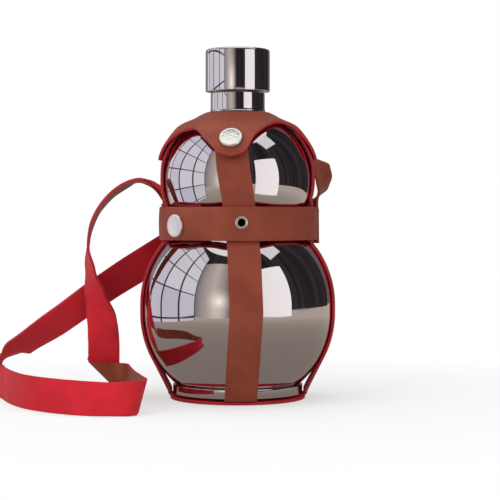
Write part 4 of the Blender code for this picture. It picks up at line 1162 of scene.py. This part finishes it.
def make_shoulder_strap():
    """Flat strap of two-tone leather from one side eyelet to the other."""
    frames = route_frames()
    rise = harness().leather / 2
    across = LOOSE_COLUMNS
    shape = bmesh.new()
    rings = []
    for place, half, normal in frames:
        sides = [half * (2 * i / across - 1) for i in range(across + 1)]
        ring = [shape.verts.new(place + side + normal * rise) for side in sides]
        ring += [shape.verts.new(place - side - normal * rise) for side in sides]
        rings.append(ring)
    count = len(rings[0])
    for row, (first, second) in enumerate(zip(rings, rings[1:])):
        edge = 0 if row > len(rings) - BROWN_END_ROWS else 2
        for i in range(count):
            other = (i + 1) % count
            made = shape.faces.new((first[i], first[other], second[other], second[i]))
            made.material_index = 1 if i < across else edge if i in (across, count - 1) else 0
    for ring in (rings[0], rings[-1]):
        for i in range(across):
            made = shape.faces.new((ring[i], ring[i + 1], ring[count - 2 - i], ring[count - 1 - i]))
            made.material_index = 2
    bmesh.ops.recalc_face_normals(shape, faces=shape.faces)
    mesh = bpy.data.meshes.new("shoulder_strap_leather")
    shape.to_mesh(mesh)
    shape.free()
    strap = bpy.data.objects.new("shoulder_strap_leather", mesh)
    bpy.context.collection.objects.link(strap)
    select_piece(strap)
    round_edges(strap, 2)
    add_leathers(strap)
    finish_piece(strap, "shoulder_strap_leather", "bottle", ("shoulder_strap",))
    centres = [place for place, half, normal in frames]
    length = sum((there - here).length for here, there in zip(centres, centres[1:]))
    tuple(centres[0])
    [tuple(place) for place in centres]


# Fasteners

def make_fastener(node, outline, place, body="bottle", sides=FASTENER_SIDES):
    """Turn a piece of silver-coloured metal at its place."""
    piece = lathe(outline, sides, place)
    finish_piece(piece, node + "_metal", body, (node,), "hammered_silver", SILVER_SHADE)


def make_snaps():
    """Cap and socket on each flap, stud and post on the leather behind it."""
    leather = harness().leather
    radius = harness().snap_radius
    face = SNAP_STACK + leather
    under = face + GAP
    top = under + SNAP_CAP_HEIGHT
    cap = [(0, top - 0.00035), (radius * 0.35, top - 0.00035), (radius * 0.62, top - 0.0003),
           (radius * 0.74, top - 0.0001), (radius * 0.82, top)]
    cap += corner((radius - 0.0007, top - 0.0007), 0.0007, 80, 0, 5)
    cap += [(radius - 0.0001, under - 0.0004), (radius - 0.0006, under - 0.0002), (0.0014, under),
            (0.0014, 0.0023), (0, 0.0023)]
    seat = SNAP_STACK - SNAP_SOCKET_DROP
    socket = [(0.0026, seat)] + corner((0.0049, seat - 0.0003), 0.0003, 90, 0, 3)
    socket += corner((0.0049, seat - 0.0009), 0.0003, 0, -90, 3)
    socket += [(0.0038, seat - 0.0012), (0.0035, seat - 0.001), (0.0029, seat - 0.0012),
               (0.0026, seat - 0.001)]
    stud = [(0, 0.002), (0.0012, 0.002)] + corner((0.0014, 0.0015), 0.0005, 80, -20, 5)
    stud += [(0.0017, 0.0008), (0.0021, 0.0007), (0.0047, 0.0007), (0.005, 0.0005), (0.005, GAP),
             (0.0013, GAP), (0.0013, 0.0014), (0, 0.0014)]
    head = -leather - 2 * GAP
    post = [(0, 0.0011), (0.0009, 0.0011), (0.0009, head), (0.0037, head), (0.0038, head - 0.0002),
            (0.0036, head - 0.0004), (0, head - 0.0004)]
    for name, (matrix, tilted, body, flap, carrier) in snaps().items():
        make_fastener(name + "_cap", cap, tilted, body)
        make_fastener(name + "_socket", socket, tilted, body)
        make_fastener(name + "_stud", stud, matrix)
        make_fastener(name + "_post", post, matrix, sides=POST_SIDES)
        punch(bpy.data.objects[flap], tilted, SNAP_HOLE, SNAP_STACK - HOLE_MARGIN, face + HOLE_MARGIN)
        punch(bpy.data.objects[carrier], matrix, POST_HOLE, -leather - HOLE_MARGIN, HOLE_MARGIN)


def make_eyelets():
    """Eyelets through the belt and the leather behind it, with their holes."""
    hole, flange = harness().eyelet_hole, harness().eyelet_radius
    barrel = hole + BARREL_WALL
    rise = GAP + FLANGE_HEIGHT
    for name, (matrix, depth, pieces) in eyelets().items():
        bottom = -depth - GAP - 0.0002
        outline = corner((hole + RIM_ROUND, rise - 0.0004), RIM_ROUND, 175, 90, 6)
        outline += corner((flange - RIM_ROUND, rise - 0.0004), RIM_ROUND, 90, 5, 6)
        outline += [(flange - 0.0001, GAP), (barrel, GAP), (barrel, bottom), (flange, bottom)]
        outline += [(flange - 0.0002, bottom - FLANGE_HEIGHT), (hole, bottom - FLANGE_HEIGHT)]
        make_fastener(name, outline, matrix)
        for piece in pieces:
            punch(bpy.data.objects[piece], matrix, barrel + 0.0002, bottom + 0.0002, HOLE_MARGIN)


def join_flaps():
    """Bake the placing of the collar and of the belt's front length into their meshes, and tie the belt's length
    round the back to the bottle.
    """
    reach = strap_reach() + harness().leather
    start, end = (on_flap(0, angle, reach) for angle in (COLLAR_BEND_START, COLLAR_BEND_END))
    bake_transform(bpy.data.objects["collar_leather"], "bottle", "collar_flap", start=tuple(start), end=tuple(end))
    inner = belt_inner(-math.tau)
    start, end = (around(azimuth, inner, BELT_MIDDLE) for azimuth in (BELT_BEND_START, BELT_BEND_END))
    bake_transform(bpy.data.objects["waist_belt_front"], "bottle", "belt_end", start=tuple(start), end=tuple(end))
    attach(bpy.data.objects["waist_belt_round"], "bottle")


# Stage: what the steel reflects

# Place, turn and tilt in degrees, width and height of each card
CARDS = {
    "table_card": ((0, 0, -0.0002), 0, 0, 2.5, 2.5),
    "window_card": ((-0.2, -0.02, 0.21), -90, 90, 0.34, 0.36),
    "panel_card": ((0.191, -0.2013, 0.17), 44, 90, 0.178, 0.26),
    "wall_card": ((-0.36, -0.62, 0.449), -20, 90, 0.62, 0.9),
    "back_card": ((0, 1.15, 1), 180, 90, 2.4, 2),
    "top_card": ((0.33, -0.12, 0.62), 80, 30, 0.22, 0.16),
}

# Tones of the reflected things, glowing on the cards with painted light and shade, as (place, colour) stops
# Table card: warm grey glowing with painted light, with painted shade darker near the bottle
TABLE_GLOW_AND_SHADE = ((0, (0.56, 0.48, 0.42)), (1, (0.24, 0.2, 0.17)))
PANEL_TONES = ((0, (0.93, 0.88, 0.88)), (1, (1, 0.96, 0.95)))
# Wall card: painted light on a grey wall, lighter in the middle and dark at the sides, and a cream pool of painted
# light
WALL_LIGHT_AND_SHADE = ((0, (0.2, 0.18, 0.19)), (0.2, (0.42, 0.37, 0.36)), (0.55, (0.66, 0.59, 0.53)),
              (0.8, (0.4, 0.34, 0.31)), (1, (0.03, 0.025, 0.03)))
WALL_LIGHT_POOL = (1.5, 1.35, 1.2, 1)
# Back card: a grey wall glowing with painted light, darker at its left side
BACK_GLOW_TONES = ((0, (0.1, 0.09, 0.1)), (1, (0.3, 0.29, 0.3)))
# Curtain card: charcoal with painted light and shade in upright streaks for its folds
CURTAIN_TONES_AND_FOLD_SHADE = ((0.35, (0.014, 0.012, 0.014)), (0.7, (0.055, 0.045, 0.05)))
FLOOR_FADE = ((0, (1, 1, 1)), (0.8, (0.55, 0.55, 0.55)))
FLOOR_WHITE = (0.9, 0.9, 0.9, 1)
WINDOW_PANES = ((0.93, 0.90, 0.97, 1), (0.72, 0.68, 0.80, 1))
WINDOW_BARS = (0.05, 0.045, 0.05, 1)
WHITE = (1, 1, 1, 1)

FLOOR_RADIUS = 6
FLOOR_HEIGHT = -0.0004
CURTAIN_RADIUS = 1.2
CURTAIN_HEIGHT = 2.2
CURTAIN_RIGHT_END = 0.9
CURTAIN_LEFT_END = 0.35

# Place, power and width of each lamp, and the place that all of them light
LAMPS = {
    "window_lamp": ((-0.75, -0.65, 0.65), 4.4, 0.7),
    "front_lamp": ((0.55, -0.95, 0.75), 3.2, 0.8),
    "top_lamp": ((0, 0.1, 1.1), 4.4, 0.8),
}
LAMP_AIM = (0, 0, 0.1)
ROOM_LIGHT = 0.4

# Camera: its place, and its lens from the focal length in the photograph's picture points
CAMERA_PLACE = (0.00814, -1.03, 0.1226)
SENSOR_WIDTH = 36
FOCAL_POINTS = 1556
PICTURE_POINTS = 500
FRAME_SHIFT = -0.076
CLIP_START = 0.05


def glow(name, strength=1.0):
    """Material that gives off light, its node tree and the node of its light."""
    made = bpy.data.materials.new(name)
    made.use_nodes = True
    tree = made.node_tree
    tree.nodes.clear()
    light = add_node(tree, "ShaderNodeEmission", Strength=strength)
    add_node(tree, "ShaderNodeOutputMaterial", Surface=light.outputs["Emission"])
    return made, tree, light


def side_to_side(tree, stops):
    """Tone that changes over a card from its left side to its right side."""
    place = tree.nodes.new("ShaderNodeTexCoord")
    split = add_node(tree, "ShaderNodeSeparateXYZ", Vector=place.outputs["Object"])
    shift = add_node(tree, "ShaderNodeMapRange", Value=split.outputs["X"], From_Min=-0.5, From_Max=0.5)
    return ramp(tree, shift.outputs["Result"], stops)


def gradient_finish(name, stops, strength=1.0):
    """Light whose tone changes from the card's left side to its right side."""
    made, tree, light = glow(name, strength)
    set_node(tree, light, Color=side_to_side(tree, stops))
    return made


def window_finish():
    """Bright lilac-grey window with dark bars."""
    made, tree, light = glow("window_light", 0.95)
    place = object_place(tree, Location=(0.04, 0.105, 0), Scale=(0.6, 1.5, 1))
    bars = add_node(tree, "ShaderNodeTexBrick", Color1=WINDOW_PANES[0], Color2=WINDOW_PANES[1],
                    Mortar=WINDOW_BARS, Scale=1, Mortar_Size=0.009, Mortar_Smooth=0.1, Brick_Width=0.17,
                    Row_Height=0.3, Vector=place)
    bars.offset = 0
    set_node(tree, light, Color=bars.outputs["Color"])
    return made


def wall_painted_light():
    """Grey wall with painted light: lighter across the middle than at the sides, with a soft round cream pool of
    light.
    """
    made, tree, light = glow("wall_grey")
    spot = round_fade(tree, "QUADRATIC_SPHERE", Scale=(2.6, 3.8, 1), Location=(-0.476, 1.338, 0))
    joined = tree.nodes.new("ShaderNodeMix")
    joined.data_type = "RGBA"
    set_node(tree, joined, Factor=spot)
    first, second, result = joined.inputs[6], joined.inputs[7], joined.outputs[2]
    tree.links.new(side_to_side(tree, WALL_LIGHT_AND_SHADE), first)
    second.default_value = WALL_LIGHT_POOL
    set_node(tree, light, Color=result)
    return made


def curtain_glow_and_fold_shade():
    """Glowing charcoal curtain with painted light and shade of faint upright folds."""
    made, tree, light = glow("curtain_charcoal")
    set_node(tree, light, Color=ramp(tree, object_noise(tree, 5, 3, (1, 1, 0.05)), CURTAIN_TONES_AND_FOLD_SHADE))
    return made


def table_glow_and_shade():
    """Glowing warm grey table for the steel to reflect, with painted shade darker towards the bottle."""
    made, tree, light = glow("table_grey")
    near = round_fade(tree, "SPHERICAL", Scale=(3.6, 3.6, 3.6))
    set_node(tree, light, Color=ramp(tree, near, TABLE_GLOW_AND_SHADE))
    return made


def plain_rays(tree):
    """1 for camera, glossy and transmission rays, 0 for the rays that light things."""
    rays = tree.nodes.new("ShaderNodeLightPath").outputs
    seen = combine(tree, "MAXIMUM", rays["Is Camera Ray"], rays["Is Glossy Ray"])
    return combine(tree, "MAXIMUM", seen, rays["Is Transmission Ray"])


def floor_finish():
    """White floor: it takes the shadow near the bottle and is plain white further off."""
    made, tree, shader = new_material("white_floor", 0.9)
    set_node(tree, shader, Base_Color=FLOOR_WHITE, Specular_IOR_Level=0)
    far = ramp(tree, round_fade(tree, "SPHERICAL", Scale=(3.2, 3.2, 3.2)), FLOOR_FADE)
    share = combine(tree, "MULTIPLY", far, plain_rays(tree))
    white = add_node(tree, "ShaderNodeEmission", Strength=1)
    joined = mix_shaders(tree, share, shader.outputs["BSDF"], white.outputs["Emission"])
    set_node(tree, tree.nodes["Material Output"], Surface=joined)
    return made


def make_floor():
    """Round white floor."""
    start_piece()
    bpy.ops.mesh.primitive_circle_add(vertices=FLOOR_SIDES, radius=FLOOR_RADIUS, fill_type="NGON",
                                      location=(0, 0, FLOOR_HEIGHT))
    floor = bpy.context.object
    floor.name = "floor"
    floor.data.materials.append(floor_finish())


def show_to_metal(card, finish):
    """Give a card its glowing material of painted light and let only glossy rays see it."""
    card.data.materials.append(finish)
    card.visible_camera = False
    card.visible_diffuse = False
    card.visible_shadow = False
    card.visible_transmission = False


def make_curtain():
    """Upright charcoal curtain round the front and the sides, open at the back."""
    start_piece()
    bpy.ops.mesh.primitive_cylinder_add(vertices=FLOOR_SIDES, radius=CURTAIN_RADIUS, depth=CURTAIN_HEIGHT,
                                        end_fill_type="NOTHING", location=(0, 0, CURTAIN_HEIGHT / 2))
    curtain = bpy.context.object
    curtain.name = "curtain_card"
    bpy.ops.object.transform_apply(location=True, rotation=True, scale=True)
    bpy.ops.object.mode_set(mode="EDIT")
    bpy.ops.mesh.select_all(action="DESELECT")
    bpy.ops.mesh.select_mode(type="FACE")
    shape = bmesh.from_edit_mesh(curtain.data)
    for piece in shape.faces:
        middle = piece.calc_center_median()
        piece.select_set(middle.y > (CURTAIN_RIGHT_END if middle.x > 0 else CURTAIN_LEFT_END))
    bmesh.update_edit_mesh(curtain.data)
    bpy.ops.mesh.delete(type="FACE")
    bpy.ops.object.mode_set(mode="OBJECT")
    show_to_metal(curtain, curtain_glow_and_fold_shade())


def make_cards():
    """Glowing cards that only the polished steel sees, painted reflections of a room: table, window, panel, wall,
    back and a light above.
    """
    looks = {
        "table_card": table_glow_and_shade(),
        "window_card": window_finish(),
        "panel_card": gradient_finish("panel_light", PANEL_TONES, 1.25),
        "wall_card": wall_painted_light(),
        "back_card": gradient_finish("back_grey", BACK_GLOW_TONES),
        "top_card": glow("top_light", 0.9)[0],
    }
    for name, (place, turn, tilt, width, height) in CARDS.items():
        start_piece()
        rotation = (math.radians(tilt), 0, math.radians(turn))
        bpy.ops.mesh.primitive_plane_add(size=1, location=place, rotation=rotation)
        card = bpy.context.object
        card.name = name
        card.scale = (width, height, 1)
        show_to_metal(card, looks[name])


def make_lights():
    """Plain soft light from the window side, the front and above."""
    for name, (place, power, width) in LAMPS.items():
        start_piece()
        bpy.ops.object.light_add(type="AREA", location=place)
        lamp = bpy.context.object
        lamp.name = name
        lamp.data.energy = power
        lamp.data.shape = "SQUARE"
        lamp.data.size = width
        lamp.visible_glossy = False
        towards = Vector(LAMP_AIM) - Vector(place)
        lamp.rotation_euler = towards.to_track_quat("-Z", "Y").to_euler()


def make_world():
    """White for the eye and for metal, and soft light on everything."""
    world = bpy.data.worlds.new("white_room")
    bpy.context.scene.world = world
    world.use_nodes = True
    tree = world.node_tree
    tree.nodes.clear()
    lit, white = (add_node(tree, "ShaderNodeBackground", Color=WHITE, Strength=strength).outputs["Background"]
                  for strength in (ROOM_LIGHT, 1))
    add_node(tree, "ShaderNodeOutputWorld", Surface=mix_shaders(tree, plain_rays(tree), lit, white))


def make_camera():
    """Level camera a metre in front, with its frame shifted down over the bottle."""
    start_piece()
    bpy.ops.object.camera_add(location=CAMERA_PLACE, rotation=(math.pi / 2, 0, 0))
    camera = bpy.context.object
    camera.name = "photo_camera"
    camera.data.sensor_width = SENSOR_WIDTH
    camera.data.lens = FOCAL_POINTS / PICTURE_POINTS * SENSOR_WIDTH
    camera.data.shift_y = FRAME_SHIFT
    camera.data.clip_start = CLIP_START
    bpy.context.scene.camera = camera


# Operators

class BottleStep:
    """What every modelling step shares"""

    bl_options = {"REGISTER", "UNDO"}
    make = ()

    def execute(self, context):
        for step in self.make:
            step()
        return {"FINISHED"}


class BOTTLE_OT_camera(BottleStep, bpy.types.Operator):
    """Set the camera"""

    bl_idname = "bottle.camera"
    bl_label = "Camera"
    make = (make_camera,)


class BOTTLE_OT_shoulder_strap(BottleStep, bpy.types.Operator):
    """Model the loose shoulder strap"""

    bl_idname = "bottle.shoulder_strap"
    bl_label = "Shoulder Strap"
    make = (make_shoulder_strap,)


class BOTTLE_OT_steel(BottleStep, bpy.types.Operator):
    """Model the bulbs, the neck and the foot ring"""

    bl_idname = "bottle.steel"
    bl_label = "Steel Body"
    make = (make_lower_bulb, make_upper_bulb, make_neck, make_foot_ring)


class BOTTLE_OT_cap(BottleStep, bpy.types.Operator):
    """Model the cap, its liner and its gasket"""

    bl_idname = "bottle.cap"
    bl_label = "Cap"
    make = (make_cap_shell, make_cap_liner, make_gasket)


class BOTTLE_OT_harness(BottleStep, bpy.types.Operator):
    """Model the collar, the straps, the belt and the base disc"""

    bl_idname = "bottle.harness"
    bl_label = "Leather Harness"
    make = (make_collar, make_straps, make_belt, make_base_disc)


class BOTTLE_OT_fasteners(BottleStep, bpy.types.Operator):
    """Model the snaps and the eyelets, and tie the belt's back length to the bottle"""

    bl_idname = "bottle.fasteners"
    bl_label = "Fasteners"
    make = (make_snaps, make_eyelets, join_flaps)


class BOTTLE_OT_stage(BottleStep, bpy.types.Operator):
    """Set up the floor, the lights and what the steel reflects"""

    bl_idname = "bottle.stage"
    bl_label = "Stage"
    make = (make_floor, make_curtain, make_cards, make_lights, make_world)


STEPS = (BOTTLE_OT_camera, BOTTLE_OT_shoulder_strap, BOTTLE_OT_steel, BOTTLE_OT_cap, BOTTLE_OT_harness,
         BOTTLE_OT_fasteners, BOTTLE_OT_stage)


class BOTTLE_PT_panel(bpy.types.Panel):
    """Steps and sizes of the bottle"""

    bl_idname = "BOTTLE_PT_panel"
    bl_label = "Gourd Bottle"
    bl_space_type = "VIEW_3D"
    bl_region_type = "UI"
    bl_category = "Bottle"

    def draw(self, context):
        for step in STEPS:
            self.layout.operator(step.bl_idname)
        for group in (context.scene.bottle_sizes, context.scene.harness_sizes, context.scene.bottle_colours):
            box = self.layout.box()
            for name in type(group).__annotations__:
                box.prop(group, name)


CLASSES = (BottleSizes, HarnessSizes, FinishColours, *STEPS, BOTTLE_PT_panel)


def register():
    for made in CLASSES:
        bpy.utils.register_class(made)
    bpy.types.Scene.bottle_sizes = PointerProperty(type=BottleSizes)
    bpy.types.Scene.harness_sizes = PointerProperty(type=HarnessSizes)
    bpy.types.Scene.bottle_colours = PointerProperty(type=FinishColours)


def unregister():
    del bpy.types.Scene.bottle_colours
    del bpy.types.Scene.harness_sizes
    del bpy.types.Scene.bottle_sizes
    for made in reversed(CLASSES):
        bpy.utils.unregister_class(made)


def main():
    """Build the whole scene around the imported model."""
    register()
    bpy.context.scene.view_settings.view_transform = "Standard"
    bpy.ops.bottle.camera()
    bpy.ops.bottle.shoulder_strap()
    bpy.ops.bottle.steel()
    bpy.ops.bottle.cap()
    bpy.ops.bottle.harness()
    bpy.ops.bottle.fasteners()
    bpy.ops.bottle.stage()


if __name__ == "__main__":
    main()
